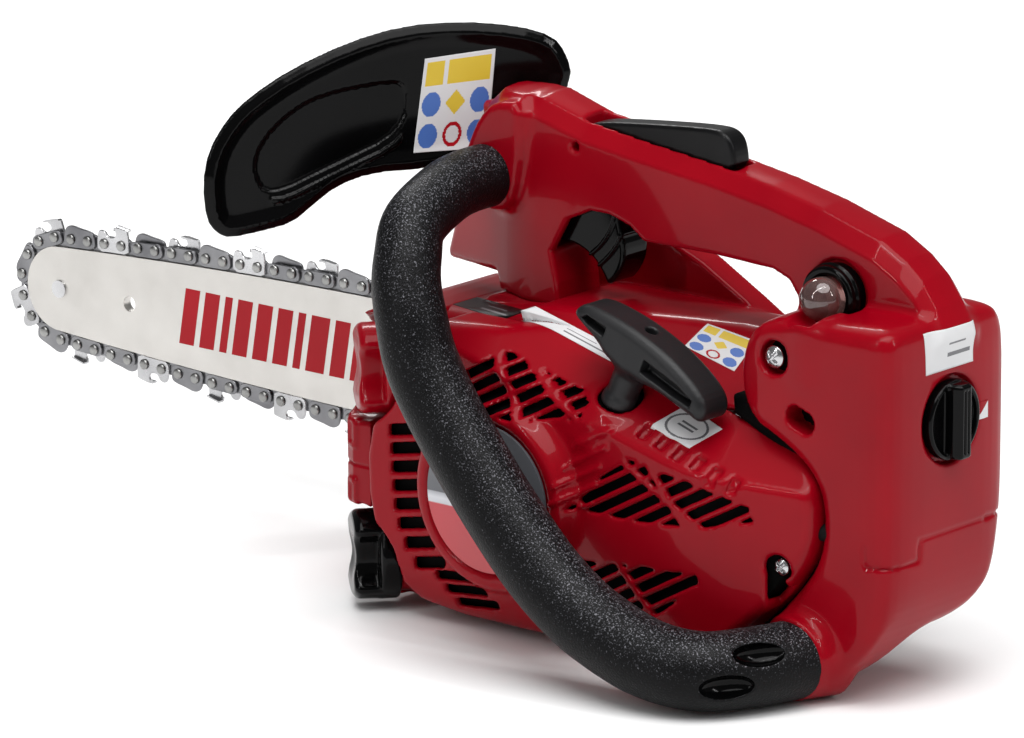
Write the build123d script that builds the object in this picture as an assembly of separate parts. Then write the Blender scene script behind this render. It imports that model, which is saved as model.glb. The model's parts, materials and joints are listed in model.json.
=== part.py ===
from build123d import *
import math
import os

# Top-handle chainsaw. X points along the guide bar, Y to the starter side, Z up.
# X = 0 and Z = CRANK_Z is the crankshaft axis, Y = 0 the engine's middle plane, Z = 0 the ground.

# ---------------------------------------------------------------- driving dimensions, millimetres
CRANK_Z = 60.0          # crankshaft height above the ground
FRONT_X = 86.0          # bumper face, where the cutting length starts
REAR_X = -176.0         # back face of the air cleaner cover
WALL = 2.5              # wall of the moulded covers
FIT = 0.05              # radial clearance of a running fit
GAP = 0.4               # clearance between neighbouring bodies

BAR_Y, BAR_T = -50.0, 4.4
BAR_Z = 66.0            # centre line of the guide bar
NOSE_X, NOSE_R = 332.0, 18.0
RAIL_START, TAIL_HALF = 62.0, 12.0   # where the rails begin, half height of the tail
PITCH = 9.32            # rivet to rivet, half of a 3/8 inch low profile chain pitch
RIVET_RISE = 3.9        # rivet line above the bar rail
SPROCKET_R = 18.0       # rivet circle of the six-tooth sprocket

STROKE, BORE = 28.0, 34.0
ROD_LENGTH = 50.0
SHAFT_R = 6.0

HANDLE_Y = (-11.0, 17.0)     # the two sides of the top handle
REAR_Y = (-33.0, 45.0)       # the two sides of the rear housing
COVER_Y = (34.5, 62.0)       # the starter cover, from its joint face to its flat
BADGE_Y, BADGE_R = 70.0, 29.5
TUBE_R = 13.0                # front handle with its grip sleeve

GRIP_TILT = 24.0             # the starter rope leaves its guide leaning back by this angle
ROPE_EXIT = (-49.0, 49.0, 103.2)
CAP_AXIS = (0.66, 0.75)      # direction that both tank caps face, in plan
FUEL_CAP = (71.0, 50.0, 96.5)
OIL_CAP = (74.0, 50.0, 20.5)
CAP_R, PLUG_R, NECK_R, POCKET_R = 18.0, 11.5, 14.5, 21.0
KNOB_Y, KNOB_Z = 6.0, 109.0
BULB_X, BULB_Z = -129.0, 152.0
TRIGGER_PIVOT = (-8.0, 172.0)
LOCK_PIVOT = (-3.0, 194.0)
GUARD_PIVOT = (46.0, 192.0)
STUDS_X = (50.0, 74.0)
REAR_MOUNT = ((-133.0, 40.0, 66.0), (-149.0, 40.0, 66.0))   # rubber buffer of the rear housing


# ---------------------------------------------------------------- shape helpers
def block(x, y, z):
    """Box given by its two limits on each axis."""
    centre = Pos((x[0] + x[1]) / 2, (y[0] + y[1]) / 2, (z[0] + z[1]) / 2)
    return centre * Box(x[1] - x[0], y[1] - y[0], z[1] - z[0])


def rod(start, end, radius):
    """Round bar from one point to another."""
    start, end = Vector(*start), Vector(*end)
    reach = end - start
    return Plane(origin=start, z_dir=reach) * Cylinder(
        radius, reach.length, align=(Align.CENTER, Align.CENTER, Align.MIN))


def disc_y(x, z, y, radius, hole=0.0):
    """Disc or ring between two Y values."""
    solid = rod((x, y[0], z), (x, y[1], z), radius)
    return solid - rod((x, y[0] - 1, z), (x, y[1] + 1, z), hole) if hole else solid


def outline(points, corner):
    if corner:
        return make_face(FilletPolyline(*points, radius=corner, close=True))
    return make_face(Polyline(*points, close=True))


def side_plate(points, y, corner=0):
    """Outline in X and Z, carried from one Y to another."""
    face = outline([(px, y[0], pz) for px, pz in points], corner)
    return extrude(face, amount=y[1] - y[0], dir=(0, 1, 0))


def cross_plate(points, x, corner=0):
    """Outline in Y and Z, carried from one X to another."""
    face = outline([(x[0], py, pz) for py, pz in points], corner)
    return extrude(face, amount=x[1] - x[0], dir=(1, 0, 0))


def floor_plate(points, z, corner=0):
    """Outline in X and Y, carried from one Z to another."""
    face = outline([(px, py, z[0]) for px, py in points], corner)
    return extrude(face, amount=z[1] - z[0], dir=(0, 0, 1))


def group(solids):
    return Compound(children=list(solids))


def on_cap_axis(cap, distance, side=0.0, rise=0.0):
    """Point at a distance along a cap's axis from the cap's middle."""
    length = math.hypot(*CAP_AXIS)
    ux, uy = CAP_AXIS[0] / length, CAP_AXIS[1] / length
    return (cap[0] + ux * distance - uy * side, cap[1] + uy * distance + ux * side, cap[2] + rise)


# ---------------------------------------------------------------- engine core
def crankcase():
    case = side_plate([(-34, 24), (36, 24), (36, 96), (-34, 96)], (-30, 30), 10)
    pad = side_plate([(18, 34), (84, 34), (84, 94), (18, 94)], (-36, -30.5), 6)
    case += pad + block((18, 36), (-31, -29), (36, 92)) + block((-32, 36), (-28, 28), (0, 36))
    case -= disc_y(0, CRANK_Z, (-14, 14), 27)
    case -= disc_y(0, CRANK_Z, (-22, 22), 13)
    case -= disc_y(0, CRANK_Z, (-31, 31), 10)
    case -= block((-35, -20), (-12, 12), (CRANK_Z - 12, CRANK_Z + 12))
    for x in STUDS_X:
        case -= disc_y(x, BAR_Z, (-37, -30), 4)
    return case


def crankshaft():
    halves = []
    for side, end in ((-1, -54), (1, 50)):
        web = disc_y(0, CRANK_Z, sorted((side * 5.5, side * 13)), 26)
        halves.append(web + rod((0, side * 12, CRANK_Z), (0, end, CRANK_Z), SHAFT_R))
    return group(halves)


def crank_bearings():
    """Two ball bearings, each with its shaft seal."""
    rings = [disc_y(0, CRANK_Z, y, 13 - FIT, SHAFT_R + FIT) for y in ((-22, -14.5), (14.5, 22))]
    rings += [disc_y(0, CRANK_Z, y, 10 - FIT, SHAFT_R + FIT) for y in ((-29.5, -23), (23, 29.5))]
    return group(rings)


PIN_X = -STROKE / 2 - ROD_LENGTH


def connecting_rod():
    big = disc_y(-STROKE / 2, CRANK_Z, (-4.5, 4.5), 8)
    small = disc_y(PIN_X, CRANK_Z, (-4.5, 4.5), 6)
    beam = block((PIN_X, -STROKE / 2), (-2.5, 2.5), (CRANK_Z - 4, CRANK_Z + 4))
    holes = disc_y(-STROKE / 2, CRANK_Z, (-6, 6), 4.5 + FIT) + disc_y(PIN_X, CRANK_Z, (-6, 6), 4 + FIT)
    return big + small + beam - holes


def piston():
    body = rod((PIN_X + 14, 0, CRANK_Z), (PIN_X - 11, 0, CRANK_Z), BORE / 2 - FIT)
    body -= rod((PIN_X + 15, 0, CRANK_Z), (PIN_X - 7, 0, CRANK_Z), BORE / 2 - 3)
    return body - disc_y(PIN_X, CRANK_Z, (-20, 20), 4 + FIT)


def engine_pins():
    """Crankpin and gudgeon pin."""
    return group([disc_y(-STROKE / 2, CRANK_Z, (-5.2, 5.2), 4.5), disc_y(PIN_X, CRANK_Z, (-14, 14), 4)])


def cylinder():
    end = PIN_X - 13
    body = rod((-34.5, 0, CRANK_Z), (end - 6, 0, CRANK_Z), BORE / 2 + 4)
    for index in range(6):
        x = -44.0 - index * 6
        body += side_plate([(x - 2, 25), (x, 25), (x, 95), (x - 2, 95)], (-33, 31))
    body += block((-60, -46), (-14, 14), (78, 100))
    body -= rod((-33, 0, CRANK_Z), (end, 0, CRANK_Z), BORE / 2)
    body -= rod((-53, 0, 80), (-53, 0, 101), 6) + rod((-52, -34, 60), (-52, -18, 60), 7)
    return body - rod((end + 1, 0, CRANK_Z), (end - 8, 0, CRANK_Z), 5 + FIT)


def spark_plug():
    end = PIN_X - 13
    plug = rod((end, 0, CRANK_Z), (end - 6, 0, CRANK_Z), 5)
    plug += rod((end - 6, 0, CRANK_Z), (end - 12, 0, CRANK_Z), 8)
    return plug + rod((end - 12, 0, CRANK_Z), (end - 24, 0, CRANK_Z), 4.5)


def plug_boot():
    end = PIN_X - 13
    boot = rod((end - 14, 0, CRANK_Z), (end - 30, 0, CRANK_Z), 8)
    return boot - rod((end - 13, 0, CRANK_Z), (end - 25, 0, CRANK_Z), 4.5 + FIT)


def muffler():
    body = side_plate([(-108, 30), (-42, 30), (-42, 92), (-108, 92)], (-58, -34), 8)
    body -= side_plate([(-106, 32), (-44, 32), (-44, 90), (-106, 90)], (-56, -36), 6)
    return body - rod((-52, -37, 60), (-52, -33, 60), 7) - rod((-92, -59, 76), (-92, -55, 76), 6)


def muffler_cover():
    cover = side_plate([(-112, 26), (-39, 26), (-39, 96), (-112, 96)], (-62, -58.5), 10)
    for index in range(6):
        z = 38 + index * 9.0
        cover -= block((-102, -50), (-63, -58), (z, z + 4))
    return cover


# ---------------------------------------------------------------- intake, ignition and tanks
INTAKE_Z = 111.0
THROTTLE_X = -80.0


def carburetor():
    body = block((-90, -70), (-15, 15), (101, 121))
    body -= rod((-91, 0, INTAKE_Z), (-69, 0, INTAKE_Z), 8)
    return body - rod((THROTTLE_X, -17, INTAKE_Z), (THROTTLE_X, 17, INTAKE_Z), 2.5 + FIT)


def throttle_shaft():
    shaft = rod((THROTTLE_X, -14, INTAKE_Z), (THROTTLE_X, 18.5, INTAKE_Z), 2.5)
    butterfly = rod((THROTTLE_X - 0.6, 0, INTAKE_Z), (THROTTLE_X + 0.6, 0, INTAKE_Z), 7.6)
    return shaft + butterfly + block((THROTTLE_X - 2.5, THROTTLE_X + 2.5), (15.5, 18.5), (INTAKE_Z, INTAKE_Z + 8))


def intake_boot():
    neck = rod((-69.5, 0, INTAKE_Z), (-56, 0, INTAKE_Z), 9) + rod((-53, 0, 100.5), (-53, 0, 118), 9)
    neck -= rod((-70, 0, INTAKE_Z), (-53, 0, INTAKE_Z), 6)
    return neck - rod((-53, 0, 100), (-53, 0, INTAKE_Z), 6)


def rubber_boots():
    """Intake boot between cylinder and carburettor, and the spark plug boot."""
    return group([intake_boot(), plug_boot()])


def ignition_coil():
    return block((-20, 20), (34.6, 40), (98.5, 106))


def fuel_tank():
    return tank((46, 110), FUEL_CAP)


def oil_tank():
    return tank((2.5, 45.5), OIL_CAP)


def tank(z, cap):
    """Front tank with a pocket for its cap in the left corner and a neck behind it."""
    plan = [(38, -30), (FRONT_X, -30), (FRONT_X, 52), (69, 52), (69, 34), (38, 34)]
    inside = [(41, -27), (FRONT_X - 3, -27), (FRONT_X - 3, 22), (70, 31), (41, 31)]
    body = floor_plate(plan, z, 1.5) + (rod(on_cap_axis(cap, -30), on_cap_axis(cap, -9.5), NECK_R) & floor_plate(
        [(38.5, -29), (90, -29), (90, 60), (38.5, 60)], (z[0] + 0.5, z[1] - 0.5)))
    body -= floor_plate(inside, (z[0] + 3, z[1] - 3), 3)
    body -= rod(on_cap_axis(cap, -9.5), on_cap_axis(cap, 40), POCKET_R)
    return body - rod(on_cap_axis(cap, -40), on_cap_axis(cap, 0), PLUG_R)


def tank_cap(cap):
    flange = rod(on_cap_axis(cap, -9), on_cap_axis(cap, 0), CAP_R)
    plug = rod(on_cap_axis(cap, -20), on_cap_axis(cap, -9), PLUG_R - FIT)
    lobes = rod(on_cap_axis(cap, 0), on_cap_axis(cap, 9.5), CAP_R)
    for side in (-1, 1):
        at = side * 20.5
        lobes -= rod(on_cap_axis(cap, -1, at), on_cap_axis(cap, 11, at), 13)
    return flange + plug + lobes


# ---------------------------------------------------------------- starter side
def cover_outline(inset):
    """Side view of the starter cover, from the front seam round the bottom to the rear gap."""
    front = [(68, 72), (67, 41), (57, 18), (42, 4)]
    rear = [(-86, 4), (-109, 23), (-121, 36), (-130, 46), (-136, 57), (-138, 68), (-133, 84), (-119, 95),
            (-98, 107)]
    top = [(-60, 124), (30, 124), (56, 96)]
    middle_x, middle_z, half_x, half_z = -39.0, 63.0, 107.0, 60.0
    scale_x, scale_z = 1 - inset / half_x, 1 - inset / half_z
    return [(middle_x + (px - middle_x) * scale_x, middle_z + (pz - middle_z) * scale_z)
            for px, pz in front + rear + top]


def cover_section(inset):
    """Front view of the starter cover: flat side, slanting top, rounded bottom edge."""
    low, high = COVER_Y
    return [(low - inset, 0), (50 - inset, 2 + inset), (59 - inset, 14 + inset), (high - inset, 30),
            (high - inset, 84), (58.5 - inset, 116), (low - inset, 125)]


CREST = ((13, 58, 114), (-115, 58, 81), (-40, 34, 118))   # three points of the slanting upper face


def above_crest(inset):
    """Everything above the slanting upper face, lowered by the wall."""
    first, second, third = (Vector(*point) for point in CREST)
    normal = (second - first).cross(third - first).normalized()
    if normal.Z < 0:
        normal = normal * -1
    return Plane(origin=first - normal * inset, z_dir=normal) * Box(400, 400, 100, align=(
        Align.CENTER, Align.CENTER, Align.MIN))


def starter_cover():
    shell = side_plate(cover_outline(0), COVER_Y, 4) & cross_plate(cover_section(0), (-160, 80))
    shell -= above_crest(0)
    boss = Plane(origin=(0, COVER_Y[1] - 2, CRANK_Z), z_dir=(0, 1, 0)) * Cone(
        39, 33, BADGE_Y - COVER_Y[1] + 1, align=(Align.CENTER, Align.CENTER, Align.MIN))
    inner = side_plate(cover_outline(WALL), (COVER_Y[0] - 1, COVER_Y[1]), 3)
    inner &= cross_plate(cover_section(WALL), (-160, 80))
    inner -= above_crest(WALL)
    shell = shell + boss - inner - disc_y(0, CRANK_Z, (COVER_Y[0], BADGE_Y - 3.5), 31)
    shell += disc_y(0, CRANK_Z, (53.5, BADGE_Y - 3), 5)
    shell -= rod(along_rope(-30), along_rope(20), 7.5 + FIT) + rod(*REAR_MOUNT, 3.5 + FIT)
    for cap in (FUEL_CAP, OIL_CAP):
        shell -= rod(on_cap_axis(cap, -10), on_cap_axis(cap, 40), POCKET_R + GAP)
        shell -= rod(on_cap_axis(cap, -40), on_cap_axis(cap, -5), NECK_R + GAP)
    return shell - cover_slots()


def cover_slots():
    """Cooling air slots: a column at the front and three slanting groups behind the badge."""
    slots = [block((40, 56), (40, 70), (z, z + 4)) for z in range(30, 86, 8)]
    for x0, z0, count in ((-20, 96, 4), (-58, 84, 6), (-52, 26, 5)):
        for index in range(count):
            place = Pos(x0 - index * 9.0, 58, z0 - index * 2.5) * Rot(0, 30, 0)
            slots.append(place * Box(3.8, 24, 15))
    return group(slots)


def starter_badge():
    return disc_y(0, CRANK_Z, (BADGE_Y - 1, BADGE_Y + 0.2), BADGE_R)


def along_rope(distance, offset=(0, 0, 0)):
    lean = math.radians(GRIP_TILT)
    return (ROPE_EXIT[0] - math.sin(lean) * distance + offset[0], ROPE_EXIT[1] + offset[1],
            ROPE_EXIT[2] + math.cos(lean) * distance + offset[2])


def rope_guide():
    return rod(along_rope(-6), along_rope(6), 7.5) - rod(along_rope(-7), along_rope(7), 2.6)


def starter_rope():
    return rod(along_rope(-8), along_rope(20), 1.75)


def starter_grip():
    stem = rod(along_rope(6.5), along_rope(26), 6.5)
    lean = math.radians(GRIP_TILT)
    frame = Plane(origin=along_rope(27, (-5.5, 0, -2.4)), x_dir=(-math.cos(lean), 0, -math.sin(lean)),
                  z_dir=(-math.sin(lean), 0, math.cos(lean)))
    bar = frame * Box(70, 19, 13)
    bar = fillet(bar.edges(), 5)
    return stem + bar - rod(along_rope(5), along_rope(24), 2.6)


def recoil_reel():
    reel = disc_y(0, CRANK_Z, (54, 62), 29, 5 + FIT)
    return reel - disc_y(0, CRANK_Z, (56, 60), 30, 25)


def recoil_spring():
    return disc_y(0, CRANK_Z, (62.5, 66), 23, 9)


def starter_pawls():
    return group(Pos(side * 14, 49.5, CRANK_Z) * Box(12, 3, 5) for side in (-1, 1))


def flywheel():
    wheel = disc_y(0, CRANK_Z, (31, 38), 36.5) + disc_y(0, CRANK_Z, (31, 48), 12)
    for index in range(14):
        fin = Pos(0, 42, CRANK_Z) * Rot(0, index * 360 / 14, 0) * Pos(24, 0, 0) * Box(23, 9, 2)
        wheel += fin
    return wheel - rod((0, 30, CRANK_Z), (0, 49, CRANK_Z), SHAFT_R + 0.01)


# ---------------------------------------------------------------- covers of the engine unit
def cylinder_cover():
    outer = side_plate([(FRONT_X - 1, 98), (FRONT_X - 1, 111), (FRONT_X - 3, 117), (38, 121), (16, 123), (4, 130),
                        (-84, 129), (-95, 122), (-95, 101), (-90, 98)], (-36, 34))
    outer &= cross_plate([(-36, 98), (-36, 112), (-28, 124), (-16, 134), (14, 134), (34, 123), (34, 98)],
                         (-120, 100))
    inner = side_plate([(FRONT_X - 4, 97), (FRONT_X - 4, 109), (FRONT_X - 6, 114), (38, 118), (18, 120),
                        (4, 127), (-83, 126), (-92, 120), (-92, 97)], (-34, 32))
    inner &= cross_plate([(-33.5, 97), (-33.5, 110), (-26, 121), (-15, 131), (13, 131), (31.5, 120),
                          (31.5, 97)], (-120, 100))
    foot_pocket = block((1, 44), (-12, 20), (117, 140))
    inner -= block((-1.5, 46.5), (-14.5, 22.5), (114, 140))
    hump = side_plate([(-14, 121), (-74, 121), (-66, 124), (-22, 148), (-14, 148)], (-30, -20))
    shell = outer - inner - foot_pocket + hump
    shell -= block((36.6, 90), (-40, 60), (90, 110.4))
    shell -= rod((-88, 0, INTAKE_Z), (-99, 0, INTAKE_Z), 8)
    for cap in (FUEL_CAP, OIL_CAP):
        shell -= rod(on_cap_axis(cap, -10), on_cap_axis(cap, 40), POCKET_R + GAP)
    return shell


def clutch_cover():
    side = [(FRONT_X + 2, 26), (FRONT_X + 2, 105), (40, 107), (-20, 100), (-36, 84), (-36, 40), (-14, 22),
            (60, 22)]
    shell = side_plate(side, (-63, -37), 8)
    inside = [(FRONT_X + 9, 28.5), (FRONT_X + 9, 102.5), (40, 104.5), (-18, 97.5), (-33.5, 82), (-33.5, 42),
              (-13, 24.5), (60, 24.5)]
    shell -= side_plate(inside, (-60, -36), 6)
    for x in STUDS_X:
        shell += disc_y(x, BAR_Z, (-61, -53.2), 7.5)
        shell -= disc_y(x, BAR_Z, (-65, -52), 4.2)
    return shell


def bar_studs():
    return group(disc_y(x, BAR_Z, (-70, -31), 4 - FIT) for x in STUDS_X)


def bar_nuts():
    nuts = []
    for x in STUDS_X:
        nut = Plane(origin=(x, -63, BAR_Z), z_dir=(0, -1, 0)) * extrude(RegularPolygon(7, 6), 6)
        nuts.append(nut - disc_y(x, BAR_Z, (-71, -62), 4))
    return group(nuts)


def spiked_bumper():
    points = [(FRONT_X + 0.2, 32)]
    for z in (34, 45, 56, 67, 78):
        points += [(FRONT_X + 1, z), (FRONT_X + 9, z + 5), (FRONT_X + 1, z + 10)]
    return side_plate(points + [(FRONT_X + 0.2, 90)], (-34, -31.8))


# ---------------------------------------------------------------- bar, chain and clutch
def bar_half_width(x):
    """Half width of the guide bar: widest at a third of its length, narrow at both ends."""
    widest_x, widest = 150.0, 24.3
    if x >= widest_x:
        share = (x - widest_x) / (NOSE_X - widest_x)
        return widest - (widest - NOSE_R) * share ** 1.8
    share = (widest_x - x) / widest_x
    return widest - 6.5 * share ** 2


def bar_face(inset, y):
    """Bar outline: curved rails, round nose, tail with rounded corners."""
    stations = [RAIL_START, 105, 150, 210, 270, NOSE_X]
    upper = [(x, y, BAR_Z + bar_half_width(x) - inset) for x in stations]
    lower = [(x, y, BAR_Z - bar_half_width(x) + inset) for x in stations]
    nose = (NOSE_X + NOSE_R - inset, y, BAR_Z)
    edges = [Spline(*upper), ThreePointArc(upper[-1], nose, lower[-1]), Spline(*reversed(lower))]
    tail = [(24 + inset, y, BAR_Z - TAIL_HALF), (24 + inset, y, BAR_Z + TAIL_HALF)]
    edges.append(Polyline(lower[0], *tail, upper[0]))
    return make_face(edges)


def guide_bar():
    bar = extrude(bar_face(0, BAR_Y - BAR_T / 2), amount=BAR_T, dir=(0, 1, 0))
    groove = extrude(bar_face(-1, BAR_Y - 0.7), amount=1.4, dir=(0, 1, 0))
    groove -= extrude(bar_face(6, BAR_Y - 0.8), amount=1.6, dir=(0, 1, 0))
    bar -= groove
    slot_mid = (STUDS_X[0] + STUDS_X[1]) / 2
    slot = SlotOverall(STUDS_X[1] - STUDS_X[0] + 16, 8.2)
    bar -= Plane(origin=(slot_mid, BAR_Y - 4, BAR_Z), x_dir=(1, 0, 0), z_dir=(0, 1, 0)) * extrude(slot, 8)
    for x, z, radius in ((60, BAR_Z + 13, 3), (60, BAR_Z - 13, 3), (292.6, BAR_Z, 3.3)):
        bar -= disc_y(x, z, (BAR_Y - 4, BAR_Y + 4), radius)
    bar -= disc_y(NOSE_X, BAR_Z, (BAR_Y - 0.8, BAR_Y + 0.8), NOSE_R - 1.5)
    return bar - disc_y(NOSE_X, BAR_Z, (BAR_Y - 4, BAR_Y + 4), 2)


def nose_sprocket():
    wheel = disc_y(NOSE_X, BAR_Z, (BAR_Y - 0.6, BAR_Y + 0.6), 13.7)
    for index in range(7):
        angle = math.radians(index * 360 / 7)
        at = (NOSE_X + 15.5 * math.cos(angle), BAR_Z + 15.5 * math.sin(angle))
        wheel -= disc_y(at[0], at[1], (BAR_Y - 1, BAR_Y + 1), 3.8)
    return wheel - disc_y(NOSE_X, BAR_Z, (BAR_Y - 1, BAR_Y + 1), 2 + FIT)


def nose_rivet():
    pin = disc_y(NOSE_X, BAR_Z, (BAR_Y - BAR_T / 2, BAR_Y + BAR_T / 2), 2 - 0.01)
    for y in ((BAR_Y - 2.9, BAR_Y - BAR_T / 2), (BAR_Y + BAR_T / 2, BAR_Y + 2.9)):
        pin += disc_y(NOSE_X, BAR_Z, y, 3.7)
    return pin


def chain_line():
    """Closed rivet line: points in X and Z along the top rail, nose, bottom rail and sprocket."""
    line = []
    for index in range(31):
        x = RAIL_START + (NOSE_X - RAIL_START) * index / 30
        line.append((x, BAR_Z + bar_half_width(x) + RIVET_RISE))
    reach = NOSE_R + RIVET_RISE
    for index in range(1, 36):
        angle = math.radians(90 - index * 5)
        line.append((NOSE_X + reach * math.cos(angle), BAR_Z + reach * math.sin(angle)))
    for index in range(31):
        x = NOSE_X - (NOSE_X - RAIL_START) * index / 30
        line.append((x, BAR_Z - bar_half_width(x) - RIVET_RISE))
    for index in range(33):
        angle = math.radians(-105 - index * 5)
        line.append((SPROCKET_R * math.cos(angle), CRANK_Z + SPROCKET_R * math.sin(angle)))
    return line + [line[0]]


def rivet_places():
    """Evenly spaced rivets on the rivet line, an even number nearest to the pitch."""
    line = chain_line()
    steps = [math.dist(a, b) for a, b in zip(line, line[1:])]
    total = sum(steps)
    count = 4 * round(total / PITCH / 4)
    places, index, start = [], 0, 0.0
    for number in range(count):
        want = total * number / count
        while start + steps[index] < want:
            start += steps[index]
            index += 1
        share = (want - start) / steps[index]
        (ax, az), (bx, bz) = line[index], line[index + 1]
        places.append((ax + (bx - ax) * share, az + (bz - az) * share))
    return places


RIVETS = rivet_places()


def link_place(index, y):
    """Frame midway between a rivet and the next one, X along the chain, Y away from the bar."""
    (ax, az), (bx, bz) = RIVETS[index], RIVETS[(index + 1) % len(RIVETS)]
    return Plane(origin=((ax + bx) / 2, y, (az + bz) / 2), x_dir=(bx - ax, 0, bz - az), z_dir=(0, 1, 0))


def link(points, thick, corner=1.0):
    """Chain link outline in the link frame; positive second coordinate points at the bar."""
    face = make_face(FilletPolyline(*points, radius=corner, close=True))
    solid = extrude(face, thick)
    for side in (-1, 1):
        solid -= Pos(side * PITCH / 2, 0, -1) * Cylinder(1.55, thick + 2, align=(
            Align.CENTER, Align.CENTER, Align.MIN))
    return solid


STRAP = [(-7.4, -2.8), (7.4, -2.8), (7.4, 2.8), (-7.4, 2.8)]
GUARD = [(-7.4, -4.2), (3, -6.2), (7.4, -3), (7.4, 2.8), (-7.4, 2.8)]
CUTTER = [(-8.6, -7), (-1, -7.8), (1.6, -3.2), (4, -3.2), (5, -6.4), (7.2, -6), (7.4, 2.8), (-7.2, 2.8)]
DRIVE = [(-7.2, -2.4), (7.2, -2.4), (7.0, 2.6), (2.6, 6.7), (-2.6, 6.7), (-7.0, 2.6)]
LINK_T, DRIVE_T = 1.15, 1.25
NEAR_SIDE = BAR_Y + DRIVE_T / 2
FAR_SIDE = BAR_Y - DRIVE_T / 2 - LINK_T


def chain_drive_links():
    shape = link(DRIVE, DRIVE_T, 0.8)
    places = range(0, len(RIVETS), 2)
    return group(link_place(index, BAR_Y - DRIVE_T / 2) * shape for index in places)


def chain_side(kind, shape):
    """Side links of one kind: the two sides take turns every four rivets."""
    placed = []
    for index in range(1, len(RIVETS), 2):
        step = (index // 2) % 4
        near = {0: "cutter", 1: "guard", 2: "strap", 3: "strap"}[step]
        far = {0: "strap", 1: "strap", 2: "cutter", 3: "guard"}[step]
        if near == kind:
            placed.append(link_place(index, NEAR_SIDE) * shape)
        if far == kind:
            placed.append(link_place(index, FAR_SIDE) * shape)
    return placed


def chain_cutters():
    return group(chain_side("cutter", link(CUTTER, LINK_T, 0.6)))


def chain_side_links():
    """Plain tie straps and the links with a guard hump, beside the drive links."""
    guards = chain_side("guard", link(GUARD, LINK_T, 0.8))
    straps = chain_side("strap", link(STRAP, LINK_T, 2.2))
    return group(guards + straps)


def chain_rivets():
    half = DRIVE_T / 2 + LINK_T
    pin = Cylinder(1.5, 2 * half) + Pos(0, 0, half + 0.25) * Cylinder(2.3, 0.5)
    pin += Pos(0, 0, -half - 0.25) * Cylinder(2.3, 0.5)
    return group(Pos(x, BAR_Y, z) * Rot(90, 0, 0) * pin for x, z in RIVETS)


def clutch_drum():
    drum = disc_y(0, CRANK_Z, (-46.2, -38), 29) - disc_y(0, CRANK_Z, (-45, -37), 27)
    drum += disc_y(0, CRANK_Z, (-53, -46), 9.6)
    for index in range(6):
        angle = math.radians(15 + index * 60)
        at = (11.5 * math.cos(angle), CRANK_Z + 11.5 * math.sin(angle))
        drum -= disc_y(at[0], at[1], (-54, -46.3), 3)
    return drum - disc_y(0, CRANK_Z, (-54, -37), SHAFT_R + FIT)


def clutch_shoes():
    shoes = disc_y(0, CRANK_Z, (-44.5, -38.5), 26, SHAFT_R + 0.01)
    shoes -= block((-1.5, 1.5), (-45, -38), (CRANK_Z + 10, CRANK_Z + 30))
    shoes -= block((-1.5, 1.5), (-45, -38), (CRANK_Z - 30, CRANK_Z - 10))
    return shoes


def brake_band():
    band = disc_y(0, CRANK_Z, (-45, -40), 30.3, 29.5)
    return band - block((14, 40), (-46, -39), (CRANK_Z - 8, CRANK_Z + 8))


def oil_pump():
    pump = disc_y(0, CRANK_Z, (-37, -30.6), 16, SHAFT_R + FIT)
    return pump - disc_y(0, CRANK_Z, (-38, -30), 9)


def tension_screw():
    screw = rod((FRONT_X + 6, -42, 50), (50, -42, 50), 2.5)
    return screw + rod((FRONT_X + 2, -42, 50), (FRONT_X + 6, -42, 50), 4)


# ---------------------------------------------------------------- rear housing and top handle
REAR_SIDE = [(-99, 134), (-104, 108), (-126, 98), (-139, 89), (-144, 79), (-143.5, 67), (-140, 54), (-132, 44),
             (-124, 36), (-121, 1), (-140, 0), (-156, 12), (-166, 26), (-171, 44), (-171, 140), (-160, 149),
             (-120, 147), (-103, 139)]
REAR_SECTION = [(45, 0), (22, 1), (8, 24), (-14, 28), (-24, 36), (-29, 56), (-33, 80), (-33, 132), (-27, 148),
                (-14, 152), (38, 152), (45, 142)]
REAR_PLAN = [(-90, -33), (-160, -33), (-168, -29), (-171, -21), (-171, 37), (-164, 45), (-90, 45)]
HANDLE_TOP = [(-171, 149), (-165, 159.5), (-157, 166.5), (-145, 172.5), (-117, 180.5), (-93, 186), (-63, 190),
              (-4, 197), (22, 204), (42, 203), (52, 194), (55, 180), (72, 160), (80, 142),
              (84, 131), (83, 127.5), (66, 129), (44, 131), (43, 123.8)]
HANDLE_UNDER = [(8, 123.8), (9, 134), (8, 140), (3, 152), (-24, 158), (-63, 159), (-94, 157), (-109, 150),
                (-109, 134), (-150, 134)]


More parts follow.
